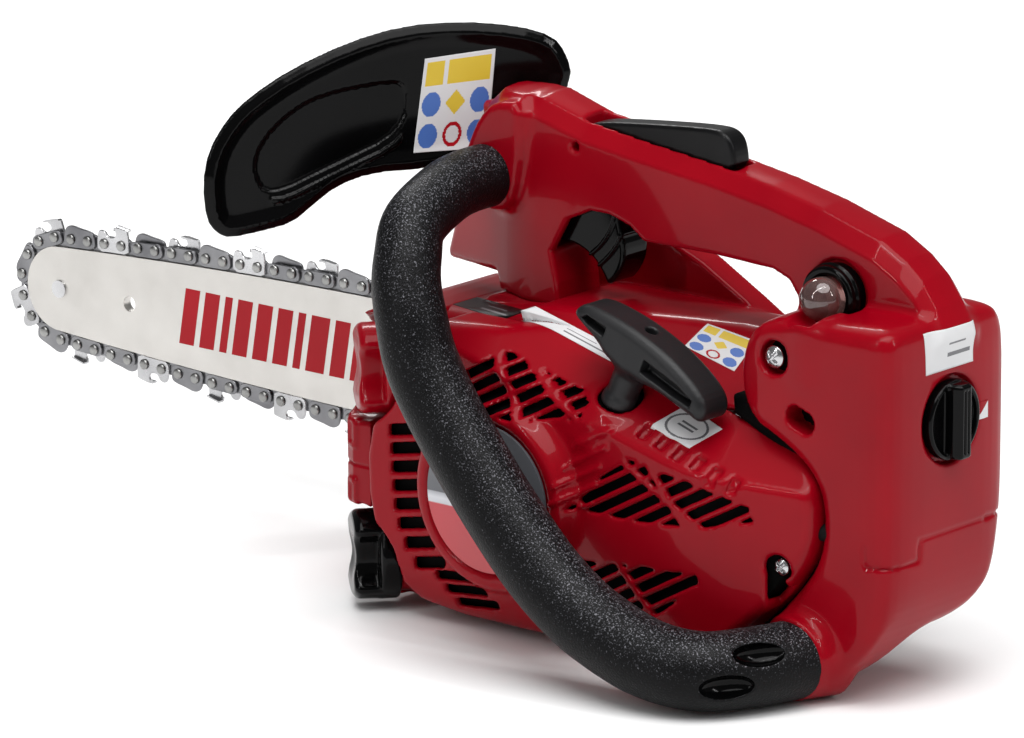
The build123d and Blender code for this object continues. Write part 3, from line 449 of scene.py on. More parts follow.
def starter_cover():
    grid = Grid((-148, 32, 0), (72, 73, 134), 0.95)
    x, y, z = grid.x, grid.y, grid.z
    side = curve([(58, 88), (68, 72), (67, 41), (57, 18), (42, 4), (-20, 3), (-86, 4), (-112, 24), (-127, 38),
                  (-133, 46), (-139, 55.5), (-142, 66), (-142, 79), (-138, 87.5), (-124, 97), (-101, 108.5),
                  (-94, 134), (20, 134), (40, 122)], 1)
    section = curve([(20, 0), (40, 0.5), (52, 3), (59, 14), (62, 28), (62, 92), (62, 140), (20, 140)], 2)
    base = both(polygon(side, x, z), polygon(section, y, z), 2.5)
    base = both(base, plane(grid, (-95, 62, 60), (-0.28, 1, 0)), 4)
    crest = plane(grid, CREST, CREST_NORMAL)
    base = both(both(base, crest, 1.5), z - 122 - 0.13 * np.clip(13 - x, 0, 60), 3)
    radius = np.hypot(x, z - CRANK_Z)
    boss = both(radius - BOSS_R + (y - 61) * 0.55, y - BADGE_Y, 2.0)
    base = either(base, both(boss, 34.5 - y), 3)
    base = either(base, bar(grid, along_rope(-18), along_rope(-2), 11.8, 2, far_radius=10.4), 5)
    region = polygon([(-30, 62), (-37, 86), (-44, 97), (-56, 96), (-50, 78), (-46, 62)], x, z)
    ridges = both(both(both(region, -hatch(grid), 0.6), base - 0.9, 0.4), 50 - y)
    outer = np.minimum(base, ridges)
    shell = without(both(outer, 35 - y, 0.8), base + COVER_WALL)
    shell = without(shell, bar(grid, along_rope(-12), along_rope(20), 8.2), 0.8)
    shell = without(shell, both(radius - BADGE_R, slab(y, BADGE_Y - 1.6, BADGE_Y + 9)), 0.4)
    upper = polygon([(18, 107), (6, 115), (-7, 113), (-18, 109.5), (-34, 105.6), (-42, 102), (-39, 96), (-26, 95),
                     (-14, 92), (0, 93), (12, 94)], x, z)
    rear = polygon([(-36, 61), (-50, 76), (-64, 85), (-92, 81), (-117, 74.5), (-119, 69), (-98, 64), (-64, 61)],
                   x, z)
    low = polygon([(-41, 41), (-70, 44), (-96, 45), (-97, 41), (-80, 28), (-66, 20), (-52, 26)], x, z)
    ribs = np.full(shell.shape, 1e3)
    for slope, rise, cosine in ((0.55, 117, 0.876), (1.2, 172, 0.64), (1.1, 107.5, 0.67)):
        ribs = np.minimum(ribs, np.abs(x * slope - z + rise) * cosine - 1.3)
    inside = np.minimum(both(upper, 42 - y), np.minimum(rear, low))
    hatched = both(both(inside, hatch(grid), 0.5), -ribs, 0.3)
    through = 44 - y
    shell = without(shell, both(hatched, through), 0.5)
    slots = np.full(shell.shape, 1e3)
    for index in range(8):
        height = 77.5 - index * 7.4
        middle = 48.5 - 0.5 * index - 0.012 * min(height - 52, 0) ** 2
        slots = np.minimum(slots, both(slab(x, middle - 8, middle + 8),
                                       slab(z + (x - middle) * 0.2, height - 2.4, height + 2.4), 0.8))
    for middle, height in ((23, 24.5), (19, 18.9), (15, 13.3)):
        slots = np.minimum(slots, both(slab(x, middle - 11, middle + 11),
                                       slab(z + x * 0.12, height - 1.0, height + 2.8), 0.8))
    shell = without(shell, both(slots, through), 0.6)
    for index in range(6):
        at = (-67.3 - 8.7 * index, 56.5 + 0.45 * index, 95.1 - 2.6 * index)
        pocket = both(both(np.abs((x - at[0]) * 0.96 + (z - at[2]) * 0.29) - 2.1,
                           slab(y, at[1] - 4, at[1] + 1.5)), plane(grid, at, (0, -0.5, -1)) - 3.5, 1.0)
        shell = without(shell, both(pocket, -(base + 1.8)), 0.4)
    notch = np.minimum(bar(grid, (-128.5, 44, 52), (-128.5, 70, 52), 5.2),
                       brick(grid, (-131, -124), (44, 70), (25, 52)))
    shell = without(shell, notch, 1.0)
    for cap in (FUEL_CAP, OIL_CAP):
        shell = without(shell, bar(grid, on_cap(cap, -12), on_cap(cap, 40), CAP_ROOM), 1.0)
    # Dark sheet under the cooling slots so they read as dark: painted shade, not a part of the saw.
    shade_liner = both(both(base + 4.2, -(base + 5.6)), 37 - y, 0.3)
    return skin("starter_cover_shell", grid, shell, RED), skin("slot_shade_liner", grid, shade_liner, PAINTED_SHADE)


# ---- front block with the two tanks
def tank_block():
    grid = Grid((34, -34, -2), (90, 60, 122), STEP)
    x, y, z = grid.x, grid.y, grid.z
    side = curve([(36, 0.4), (74, 0.8), (83, 12), (86.5, 40), (86.5, 98), (85, 112), (80, 119), (36, 121)], 2)
    plan = [(36, -31), (84, -31), (86.5, -28), (86.5, 48), (84.5, 54), (79, 57), (70, 57), (68, 35), (36, 34)]
    block = both(polygon(side, x, z), polygon(plan, x, y), 2.5)
    block = both(block, plane(grid, (86.5, 51, 36), (0.8, 0.45, -0.34)), 3)
    for cap in (FUEL_CAP, OIL_CAP):
        block = without(block, bar(grid, on_cap(cap, -9.3), on_cap(cap, 40), 21.2), 2.0)
        neck = bar(grid, on_cap(cap, -20), on_cap(cap, -8.9), 15, 1)
        block = either(block, both(neck, plane(grid, (85, 57, 0), (1, 1, 0))), 1)
    groove = both(np.abs(z - 57.5) - 0.6, -(block + 0.9))
    block = without(block, groove)
    for height in (70, 46):
        raised = both(slab(z, height - 6, height + 6), slab(x, 76.5, 83.5), 1.5)
        mark = both(both(raised, slab(y, 50, 60)), block - 0.9, 0.3)
        hollow = both(slab(z, height - 3.8, height + 3.8), slab(x, 78.4, 81.6), 1)
        hollow = both(hollow, slab(y, 50, 62))
        block = np.minimum(block, without(mark, hollow, 0.3))
    return skin("tank_housing", grid, block, RED)


def engine_cover():
    grid = Grid((-104, -38, 96), (88, 42, 155), 0.85)
    x, y, z = grid.x, grid.y, grid.z
    side = curve([(86, 98), (86, 111), (82.5, 118), (40, 121), (14, 124), (4, 130), (-90, 130), (-101, 122),
                  (-102, 98)], 2)
    section = curve([(-36, 96), (-36, 112), (-28, 124), (-14, 130), (10, 131), (38, 131), (38, 96)], 2)
    cover = both(polygon(side, x, z), polygon(section, y, z), 2)
    cover = both(cover, plane(grid, CREST, CREST_NORMAL) + 0.2, 2.5)
    cover = both(cover, plane(grid, (60, 37, 112), (0.15, 0.8, 0.6)), 4)
    hump = [(30, 118), (-74, 118), (-67, 123.5), (-22, 148), (-4, 149), (24, 134)]
    foot = [(46, 118), (44, 124.5), (26, 125), (8, 124.5), (-8, 121), (-8, 116)]
    cover = either(cover, prism(grid, hump, (-33, -20), 1.5, 1), 1.5)
    cover = either(cover, prism(grid, foot, (-9, 16), 1.5, 1), 3)
    cover = both(cover, 98 - z, 0.5)
    cover = without(cover, bar(grid, on_cap(FUEL_CAP, -11), on_cap(FUEL_CAP, 40), CAP_ROOM), 1.5)
    return skin("engine_cover", grid, cover, RED)


# ---- rear housing and top handle
TUBE = [(41, 9, 172.5), (41, 33, 172.5), (39.5, 50, 170), (36, 70, 163), (31.5, 79, 153), (28, 84, 143),
        (23, 87, 131), (17, 88, 115), (5, 88.5, 97), (-14, 89.5, 75), (-30, 90, 58), (-44, 90, 44.5),
        (-59, 90, 33.5), (-74, 90, 26), (-96, 89.5, 19), (-116, 84, 16.5), (-127, 66, 16), (-135, 42, 16)]


def housing():
    grid = Grid((-180, -38, -2), (86, 50, 210), 1.0)
    x, y, z = grid.x, grid.y, grid.z
    rear_side = curve([(-112, 146), (-99, 128), (-103, 107), (-127, 97), (-140.5, 86), (-144, 70), (-141, 54),
                       (-132, 42), (-123, 32), (-121, 2), (-136, 2), (-152, 11), (-164, 22), (-172, 36),
                       (-176, 56), (-176.5, 100), (-176, 144), (-168, 152), (-140, 150)], 2)
    section = curve([(45.5, -8), (45.5, 60), (45.5, 138), (41, 148), (26, 151), (-12, 152), (-26, 148),
                     (-33, 134), (-34.5, 100), (-33, 76), (-28, 52), (-24, 36), (-12, 26), (14, 24), (22, 8),
                     (26, -8)], 2)
    plan = curve([(-90, 45.5), (-150, 45.5), (-168, 45), (-176.3, 36), (-176.8, 0), (-176.3, -24),
                  (-168, -34.5), (-130, -34.5), (-90, -34.5)], 2)
    rear = both(polygon(rear_side, x, z), polygon(section, y, z), 6)
    rear = both(rear, polygon(plan, x, y), 4)
    bulge = bar(grid, (-133, 34, 154), (-133, 34, 120), 9, 5)
    rear = either(rear, both(bulge, z - 146.5, 3), 5)

    stations = [-176, -172, -165, -157, -145, -117, -93, -67, -30, -3, 20, 42, 52, 90]
    heights = [143, 151, 160.5, 167, 173.5, 181.5, 186.5, 190.5, 194.5, 198, 204.5, 204, 196, 190]
    top = np.interp(x[:, 0, 0], stations, heights)[:, None, None]
    side = [(-176, 140), (-176, 210), (60, 210), (55, 180), (72, 160), (80, 142), (84.5, 131), (83, 127.5),
            (66, 129), (46, 130.5), (44, 124), (8, 124), (9, 134), (12, 146), (8, 153), (4, 160), (-7, 165),
            (-17, 165), (-27, 162), (-34, 157), (-68, 157.5), (-97, 156.5), (-105, 153.5), (-109, 148),
            (-111, 140), (-112, 132), (-170, 132)]
    handle = polygon(side, x, z)
    wide = 13.0 + np.clip(x / 40, 0, 1)
    crown = z - top - 2.0 + 0.012 * (y - 1) ** 2
    upper = bevelled(crown, np.abs(y - 3.5) - wide, 5.0)
    handle = both(both(handle, upper, 1.2), 124 - z)
    arm_face = plane(grid, (28, 17.5, 150), (0.41, 1, 0))
    handle = both(handle, arm_face, 4)
    body = either(handle, rear, 4)

    collar = prism(grid, [(27.5, 166), (24, 186), (24, 204), (38, 202.5), (45.5, 195), (50, 186), (54, 176),
                          (52, 164), (41, 158.5), (32, 160)], (-9.5, 21.8), 3, 1)
    body = either(body, collar, 5)
    lower = bar(grid, (-129, 54, 16.5), (-139, 30, 16.5), 16.6, 1.5)
    body = either(body, both(lower, plane(grid, (-131, 50, 16), (0.35, 0.94, 0)), 1.5), 5)

    # room for the hand guard when it is pushed, in front of the housing
    ahead = 0.787 * (x - 40) - 0.618 * (y + 28) + 5.6 + 0.22 * np.clip(192 - z, 0, 40)
    port = both(np.hypot(np.maximum(np.abs((x + 132.5) * 0.94 + (z - 109) * 0.34) - 2.6, 0),
                         (z - 109) * 0.94 - (x + 132.5) * 0.34) - 4.4, slab(y, 34, 60))
    trigger_room = prism(grid, [(21, 146.5), (21, 153), (12, 163), (-7, 170), (-22, 168), (-34, 156),
                                (-20, 146.5)], (-5.5, 13), 1, 1)
    for room, rounding in (
            (both(-ahead, slab(z, 158, 215), 2), 1),
            (brick(grid, (-74, 0.5), (-1.6, 10.2), (168, 215), 0.8), 0.6),
            (trigger_room, 1),
            (bar(grid, (KNOB[0] - 6, KNOB[1], KNOB[2]), (KNOB[0] + 4, KNOB[1], KNOB[2]), 17.2), 1.5),
            (bar(grid, (-119.5, 37, 131), (-119.5, 60, 131), 6.8), 1),
            (port, 0.8),
            (bar(grid, (0.3, 11, 189.3), (0.3, 30, 189.3), 1.9), 0.4),
            (bar(grid, (BULB[0], 15, BULB[2]), (BULB[0], 26, BULB[2]), 13.4), 0.6),
            (bar(grid, (BULB[0], 20, BULB[2]), (BULB[0], 42, BULB[2]), 9.4), 0.6)):
        body = without(body, room, rounding)

    # seams between the housing's mouldings
    seam_x, seam_y, low, high, half_gap = -163, 24, 57.0, 65.5, 0.6
    depth = -(body + 1.3)
    seam = both(both(np.abs(z - np.where(y > seam_y, low, high)) - half_gap, x - seam_x), depth)
    riser = both(both(np.abs(y - seam_y) - half_gap, slab(z, low, high)), both(x - seam_x, depth))
    edge = both(both(np.abs(x - seam_x) - half_gap, slab(z, low, high + 0.5)), depth)
    body = without(body, np.minimum(np.minimum(seam, riser), edge))
    return skin("handle_housing", grid, body, RED)


# ---- front handle, hand guard
def front_handle():
    """Foam sleeve over the tube, with the two screw recesses in its lower end."""
    count = 170
    path = smooth_path(TUBE, count)
    radii = np.interp(np.linspace(0, 1, count), [0, 0.2, 0.36, 0.6, 1], [12.4, 12.8, 14.6, 15.0, 15.3])
    sleeve = sweep("front_handle_sleeve", path, radii, FOAM, 64)
    sleeve.data.materials.append(BLACK_GLOSS)
    along = Vector((-0.52, -0.85, 0))
    for place, facing in (((-138.5, 73.5, 25.5), (-10.5, 6.5, 8.4)), ((-133.2, 87.5, 13.6), (-12.6, 7.8, -2.5))):
        facing = Vector(facing).normalized()
        across = facing.cross(along).normalized()
        grid, local = local_grid(place, tuple(along), tuple(across), tuple(facing), (16, 9, 9), 0.6)
        cup = np.sqrt((grid.x / 11.5) ** 2 + (grid.y / 5.2) ** 2 + (grid.z / 6.5) ** 2) * 5.2 - 5.2
        cutter = placed(skin("cutter", grid, cup, BLACK_GLOSS), local)
        cut = sleeve.modifiers.new("recess", "BOOLEAN")
        cut.object = cutter
        cut.solver = "EXACT"
        graph = bpy.context.evaluated_depsgraph_get()
        mesh = bpy.data.meshes.new_from_object(sleeve.evaluated_get(graph))
        sleeve.modifiers.clear()
        sleeve.data = mesh
        bpy.data.objects.remove(cutter)
    return sleeve


GUARD_START, GUARD_END = np.array([40.0, -28.0]), np.array([129.0, 85.0])
GUARD_EDGE = [(-29, 203), (-27, 213), (-23, 220), (-12, 224.5), (6, 227), (24, 226), (41, 220.5), (59, 211),
              (72, 201), (79, 193), (85, 181), (87, 168), (86, 154), (83, 148.5), (79, 146), (68, 148),
              (59, 150.5), (53, 156.5), (45, 164), (34, 168.5), (18, 169), (4, 172), (-10, 178), (-22, 190)]


def hand_guard():
    """Bowed upright sheet with a thick rim, a sunken panel and a ledge under it. s runs along it, n through it."""
    half_sheet, rim, rim_width = 1.5, 2.8, 9
    reach = GUARD_END - GUARD_START
    length = float(np.hypot(*reach))
    ux, uy = reach / length
    grid = Grid((28, -36, 140), (142, 94, 232), 0.75)
    s = (grid.x - GUARD_START[0]) * ux + (grid.y - GUARD_START[1]) * uy
    n = (grid.x - GUARD_START[0]) * uy - (grid.y - GUARD_START[1]) * ux
    lean = n + 3.2 * ((s - length / 2) / (length / 2)) ** 2 - 1.6 - 0.05 * (grid.z - 190)

    def outlined(points, rounds):
        scale = length / reach[1]
        return polygon(curve([((y - GUARD_START[1]) * scale, z) for y, z in points], rounds), s, grid.z)

    face = outlined(GUARD_EDGE, 1)
    edge = np.clip((face + rim_width) / rim_width, 0, 1)
    guard = bevelled(face, np.abs(lean) - half_sheet - rim * edge ** 1.5, 3.6)
    panel = outlined([(71.2, 171), (69.3, 182), (60.8, 193.4), (49.9, 200.7), (29.3, 204.7), (22.5, 203.5),
                      (23.8, 184.3), (46.9, 172.1), (66.3, 161.3)], 2)
    guard = without(guard, both(panel, slab(lean, -9, -0.4), 0.3), 0.5)
    ledge = both(np.abs(panel - 3.6) - 0.9, slab(grid.z + 0.55 * (grid.y - 47), 150, 176))
    guard = either(guard, both(both(ledge, slab(lean, -2.8, 1)), slab(grid.y, 25, 68), 0.6), 0.4)
    arm = both(both(slab(grid.x, 38, 60), slab(grid.y, -16, -11.6), 1), slab(grid.z, 185.5, 199), 2)
    return skin("hand_guard_shield", grid, either(guard, arm, 2), BLACK_GLOSS)


# ---- grip, caps, knob, levers
def local_grid(origin, u, v, w, half, step):
    """Grid in a turned frame: x, y and z are then the distances along u, v and w."""
    grid = Grid([-h for h in half], half, step)
    turn = Matrix((u, v, w)).transposed().to_4x4()
    place = Matrix.Translation(Vector(origin) * MM) @ turn
    return grid, place


def grid_on_axis(place, axis, half, step):
    """Local grid whose z runs along an axis."""
    axis = Vector(axis).normalized()
    side = axis.orthogonal().normalized()
    return local_grid(place, tuple(side), tuple(axis.cross(side)), tuple(axis), half, step)


def placed(piece, place):
    piece.data.transform(place)
    return piece


def starter_grip():
    axis = (-math.cos(GRIP_LEAN), 0, -math.sin(GRIP_LEAN))
    across = tuple(np.cross(ROPE_UP, axis))
    grid, place = local_grid(along_rope(27, (-5.5, 0, -2.4)), axis, across, ROPE_UP, (38, 13, 36), 0.55)
    profile = curve([(-34, -4), (-35, -1), (-31, 3.6), (-15, 6.6), (0, 7.4), (15, 6.4), (31, 2.2), (36, -3),
                     (35.5, -9), (28, -8.5), (10, -9), (4, -11), (-14, -11), (-20, -7.5), (-28, -5.5)], 2)
    body = both(polygon(profile, grid.x, grid.z), np.abs(grid.y) - 9.3, 4)
    for outline in ([(-30, -2), (-28, 0.4), (-18, 1.2), (-18, -2.8), (-27, -3)],
                    [(3, -5.5), (3, 0), (20, 0), (29, -1.6), (29, -4.6), (20, -5.5)]):
        for side in (-1, 1):
            body = without(body, both(polygon(outline, grid.x, grid.z), 3.6 - side * grid.y, 0.6), 0.7)
    stem_x = -6.0
    stem = bar(grid, (stem_x, 0, -8), (stem_x, 0, -27), 6.4, 0.8, far_radius=6.2)
    foot = bar(grid, (stem_x, 0, -23), (stem_x, 0, -29), 6.6, 2.2, far_radius=7.6)
    body = either(either(body, stem, 4), foot, 1.5)
    body = without(body, bar(grid, (stem_x + 2, 0, 4), (stem_x + 2, 0, 12), 2.4), 0.8)
    return placed(skin("starter_t_grip", grid, body, CHARCOAL), place)


def tank_cap(name, cap, material):
    axis = tuple(CAP_AXIS)
    side = (-CAP_AXIS[1], CAP_AXIS[0], 0)
    grid, place = local_grid(cap, axis, side, (0, 0, 1), (24, 21, 21), 0.55)
    away = np.hypot(grid.y, grid.z)
    flange = both(away - 18, slab(grid.x, -9, -1), 1.6)
    skirt = both(away - 11.2, slab(grid.x, -19, -8), 0.8)
    lobes = both(away - 17.8, slab(grid.x, -3, 9.4), 3.2)
    for sign in (-1, 1):
        notch = np.hypot(grid.y - sign * 20.5, grid.z) - 13.2
        lobes = without(lobes, both(notch, -0.5 - grid.x), 2.6)
    dish = np.sqrt((grid.x - 27) ** 2 + grid.y ** 2 + grid.z ** 2) - 19.5
    cap_field = either(either(flange, lobes, 1.6), skirt, 0.5)
    return placed(skin(name, grid, without(cap_field, dish, 1.2), material), place)


def cleaner_knob():
    grid, place = local_grid(KNOB, (1, 0, 0), (0, 1, 0), (0, 0, 1), (12, 19, 19), 0.5)
    away = np.hypot(grid.y, grid.z)
    cup = both(away - 15.6, slab(grid.x, -1.5, 3.5), 1.2)
    cup = without(cup, both(away - 13.4, -8 - grid.x), 0.8)
    cup = either(cup, both(away - 14.5, slab(grid.x, 0.5, 3), 0.4))
    grip = both(np.hypot(grid.y, (grid.x + 2) * 0.8) - 4.6, slab(grid.x, -6.8, 3))
    grip = both(grip, np.abs(grid.z) - 14.6, 1.6)
    knob = either(cup, grip, 1.0)
    for offset in (-1.2, 1.2):
        line = both(np.abs(grid.y - offset) - 0.25, slab(grid.x, -10, -5.8))
        knob = without(knob, both(line, np.abs(grid.z) - 12))
    return placed(skin("cleaner_knob_grip", grid, knob, BLACK_GLOSS), place)


def lockout():
    grid = Grid((-78, -4, 182), (4, 13, 210), 0.5)
    side = curve([(1, 190), (1.5, 195), (-3, 198.6), (-30, 201.8), (-60, 204.6), (-68, 203.8), (-72, 199),
                  (-73, 188), (-40, 187)], 2)
    blade = prism(grid, side, (-1, 9.6), 1.8)
    return skin("lockout_lever", grid, blade, BLACK_SATIN)


def trigger():
    grid = Grid((-26, -6, 130), (24, 14, 180), 0.5)
    x, y, z = grid.x, grid.y, grid.z
    side = curve([(20.5, 149), (14, 156), (8, 162), (2, 176), (-14, 176), (-18, 160), (-21, 149), (-18, 141),
                  (-12, 134.5), (-9.5, 140), (-4, 146), (6, 150)], 2)
    blade = prism(grid, side, (-3.5, 11.5), 1.4)
    for radius in (31, 36.5):
        rib = np.hypot(x - 14, z - 172) - radius
        blade = either(blade, both(both(np.abs(rib) - 0.45, slab(y, 0, 12.2)), blade - 0.7), 0.4)
    return skin("trigger_blade", grid, blade, BLACK_GLOSS)


def primer():
    grid = Grid((-144, 10, 137), (-114, 42, 167), 0.5)
    x, y, z = grid.x, grid.y, grid.z
    away = np.hypot(x - BULB[0], z - BULB[2])
    base = both(away - 12.2, slab(y, 14, 24), 1.2)
    base = either(base, both(np.hypot(away - 12.2, y - 20) - 0.9, y - 40), 0.5)
    base = without(base, both(away - 8.9, 16.2 - y), 0.6)
    ball = np.sqrt((x - BULB[0]) ** 2 + (y - 26.5) ** 2 + (z - BULB[2]) ** 2) - 8.6
    ball = either(both(ball, 22.4 - y), both(away - 7.9, slab(y, 20, 27)), 0.5)
    return skin("primer_collar", grid, base, BLACK_GLOSS), skin("primer_dome", grid, ball, BULB_PLASTIC)


# ---- guide bar and chain
BAR_Y, BAR_Z, NOSE_X, NOSE_R = -50.0, 66.0, 332.0, 18.0
RAIL_START, PITCH, RIVET_RISE, SPROCKET_R = 62.0, 9.32, 3.9, 18.0
LINK_T, DRIVE_T = 1.15, 1.25


def bar_half_width(x):
    widest_x, widest = 150.0, 24.3
    if x >= widest_x:
        return widest - (widest - NOSE_R) * ((x - widest_x) / (NOSE_X - widest_x)) ** 1.8
    return widest - 6.5 * ((widest_x - x) / widest_x) ** 2


def rivet_places():
    """Rivets round the bar and the sprocket, one after the other, in X and Z."""
    stations = [RAIL_START + (NOSE_X - RAIL_START) * k / 30 for k in range(31)]
    line = [(x, BAR_Z + bar_half_width(x) + RIVET_RISE) for x in stations]
    reach = NOSE_R + RIVET_RISE
    turns = [math.radians(90 - 5 * k) for k in range(1, 36)]
    line += [(NOSE_X + reach * math.cos(t), BAR_Z + reach * math.sin(t)) for t in turns]
    line += [(x, BAR_Z - bar_half_width(x) - RIVET_RISE) for x in reversed(stations)]
    turns = [math.radians(-105 - 5 * k) for k in range(33)]
    line += [(SPROCKET_R * math.cos(t), CRANK_Z + SPROCKET_R * math.sin(t)) for t in turns]
    line = np.array(line + [line[0]])
    reach = np.concatenate([[0], np.cumsum(np.hypot(*np.diff(line, axis=0).T))])
    count = 4 * round(reach[-1] / PITCH / 4)
    wanted = np.arange(count) * reach[-1] / count
    return np.stack([np.interp(wanted, reach, line[:, 0]), np.interp(wanted, reach, line[:, 1])], axis=1)


RIVETS = rivet_places()


def plate(outline, y0, y1, edge=0.22):
    """Closed plate with softened edges: points and faces in millimetres, thickness along Y."""
    outline = np.array(outline, float)
    before, after = np.roll(outline, 1, axis=0), np.roll(outline, -1, axis=0)
    tangent = after - before
    normal = np.stack([tangent[:, 1], -tangent[:, 0]], axis=1) / np.hypot(*tangent.T)[:, None]
    if np.sum(outline[:, 0] * after[:, 1] - after[:, 0] * outline[:, 1]) < 0:
        normal = -normal
    inner = outline - normal * edge
    rings = [(inner, y0), (outline, y0 + edge), (outline, y1 - edge), (inner, y1)]
    count = len(outline)
    points = [(u, y, v) for ring, y in rings for u, v in ring]
    faces = [tuple(range(count)), tuple(reversed(range(3 * count, 4 * count)))]
    for ring in range(3):
        for k in range(count):
            a, b = ring * count + k, ring * count + (k + 1) % count
            faces.append((b, a, a + count, b + count))
    return points, faces


def in_metres(shape):
    points, faces = shape
    return [(x * MM, y * MM, z * MM) for x, y, z in points], faces


def disc(x, z, radius, y0, y1, sides):
    """Round plate, in metres."""
    turns = [2 * math.pi * k / sides for k in range(sides)]
    return in_metres(plate([(x + radius * math.cos(t), z + radius * math.sin(t)) for t in turns], y0, y1))


def lobed(half, waist, tang):
    """Link outline with two round ends and a drive tang on the side of the bar."""
    ends = []
    for middle, first in ((PITCH / 2, -120), (-PITCH / 2, 60)):
        turns = [math.radians(first + a) for a in range(0, 241, 24)]
        ends.append([(middle + half * math.cos(t), half * math.sin(t)) for t in turns])
    return [(0, -waist)] + ends[0] + tang + ends[1]


STRAP = curve([(-8.6, -2.9), (0, -2.6), (8.6, -2.9), (8.6, 3.7), (0, 3.5), (-8.6, 3.7)], 2)
DRIVE = lobed(2.7, 1.9, [(3.4, 4.6), (2.2, 6.4), (-1.6, 6.6), (-3.6, 4.4)])
GUARD_LINK = curve([(-8.6, -2.6), (-7, -4.2), (-1, -5), (4.5, -6.2), (7.6, -4.6), (8.6, -1), (8.6, 3.7), (0, 3.5),
                    (-8.6, 3.7)], 2)
CUTTER_SIDE = curve([(-8.6, -0.5), (-8.8, -4), (-8.4, -6.6), (-5, -7.3), (-1.0, -7.7), (-1.6, -5.8), (-2.2, -4),
                     (-0.6, -3), (1.6, -2.8), (3, -3.6), (4, -5.2), (6, -5.8), (7.6, -5.2), (8.6, -2.6),
                     (8.6, 3.7), (0, 3.5), (-8.6, 3.7)], 1)


def along_chain(index, points):
    """Points of a link put in their place between two rivets."""
    (ax, az), (bx, bz) = RIVETS[index], RIVETS[(index + 1) % len(RIVETS)]
    length = math.hypot(bx - ax, bz - az)
    dx, dz = (bx - ax) / length, (bz - az) / length
    mx, mz = (ax + bx) / 2, (az + bz) / 2
    return [((mx + u * dx + v * dz) * MM, y * MM, (mz + u * dz - v * dx) * MM) for u, y, v in points]


def joined(name, shapes, material, angle=40):
    points, faces = [], []
    for shape_points, shape_faces in shapes:
        offset = len(points)
        points += shape_points
        faces += [tuple(k + offset for k in face) for face in shape_faces]
    mesh = bpy.data.meshes.new(name)
    mesh.from_pydata(points, [], faces)
    mesh.shade_smooth()
    work = bmesh.new()
    work.from_mesh(mesh)
    bmesh.ops.recalc_face_normals(work, faces=work.faces)
    for edge in work.edges:
        edge.smooth = edge.calc_face_angle(0) < math.radians(angle)
    work.to_mesh(mesh)
    work.free()
    return link_object(name, mesh, material)


def top_plate(side):
    """Cutting plate of a cutter, bent over from its side plate and narrower towards its heel."""
    y0 = BAR_Y + side * (DRIVE_T / 2 + LINK_T)
    rows = []
    for u, reach, v in ((-8.5, 2.6, -6.6), (-4.5, 3.1, -7.2), (-0.9, 3.7, -7.6)):
        section = [(0, 1.6), (0.25, 0.1), (0.9, -0.2), (reach, -0.2), (reach, 0.5), (1.1, 0.6), (0.9, 1.6)]
        rows.append([(u, y0 - side * inwards, v + rise) for inwards, rise in section])
    points = [p for row in rows for p in row]
    width = len(rows[0])
    ends = [tuple(reversed(range(width))), tuple(range(2 * width, 3 * width))]
    return points, ring_faces(len(rows), width) + ends


def rivet_shape(x, z):
    """Chain rivet with its two heads, in metres."""
    profile = [(1.5, -2.9), (2.0, -2.65), (2.2, -2.35), (2.2, -2.0), (1.5, -2.0), (1.5, 2.0), (2.2, 2.0),
               (2.2, 2.35), (2.0, 2.65), (1.5, 2.9)]
    sides, rings = 16, len(profile)
    turns = [2 * math.pi * k / sides for k in range(sides)]
    points = [((x + r * math.cos(t)) * MM, (BAR_Y + y) * MM, (z + r * math.sin(t)) * MM)
              for r, y in profile for t in turns]
    ends = [tuple(range(sides)), tuple(reversed(range((rings - 1) * sides, rings * sides)))]
    return points, ring_faces(rings, sides) + ends


def chain():
    near = (BAR_Y + DRIVE_T / 2, BAR_Y + DRIVE_T / 2 + LINK_T)
    far = (BAR_Y - DRIVE_T / 2 - LINK_T, BAR_Y - DRIVE_T / 2)
    drives, sides, cutters = [], [], []
    for index in range(0, len(RIVETS), 2):
        points, faces = plate(DRIVE, BAR_Y - DRIVE_T / 2, BAR_Y + DRIVE_T / 2)
        drives.append((along_chain(index, points), faces))
    kinds = {"cutter": CUTTER_SIDE, "guard": GUARD_LINK, "strap": STRAP}
    turns = [("cutter", "strap"), ("guard", "strap"), ("strap", "cutter"), ("strap", "guard")]
    for index in range(1, len(RIVETS), 2):
        for kind, span, side in zip(turns[(index // 2) % 4], (near, far), (1, -1)):
            points, faces = plate(kinds[kind], *span)
            target = cutters if kind == "cutter" else sides
            target.append((along_chain(index, points), faces))
            if kind == "cutter":
                points, faces = top_plate(side)
                cutters.append((along_chain(index, points), faces))
    pins = [rivet_shape(x, z) for x, z in RIVETS]
    for name, shapes, material, node in (("chain_drives", drives, CHAIN_STEEL, "chain_drive_links"),
                                         ("chain_straps", sides, CHAIN_STEEL, "chain_side_links"),
                                         ("chain_teeth", cutters, CUTTER_STEEL, "chain_cutters"),
                                         ("chain_pins", pins, RIVET_STEEL, "chain_rivets")):
        finish_piece(joined(name, shapes, material), [node])


def bar_graphic():
    """Plain red slanted stripes printed on the bar."""
    shapes = []
    x = 268
    for width in (8, 8, 4, 8, 8, 8, 4, 10, 8, 4, 8, 8, 4, 10):
        x -= 3 + width
        outline = [(x, BAR_Z - 12), (x + width, BAR_Z - 12), (x + width - 4, BAR_Z + 12), (x - 4, BAR_Z + 12)]
        shapes.append(in_metres(plate(outline, BAR_Y + 2.15, BAR_Y + 2.3, 0.05)))
    return joined("bar_print", shapes, PRINT_RED)


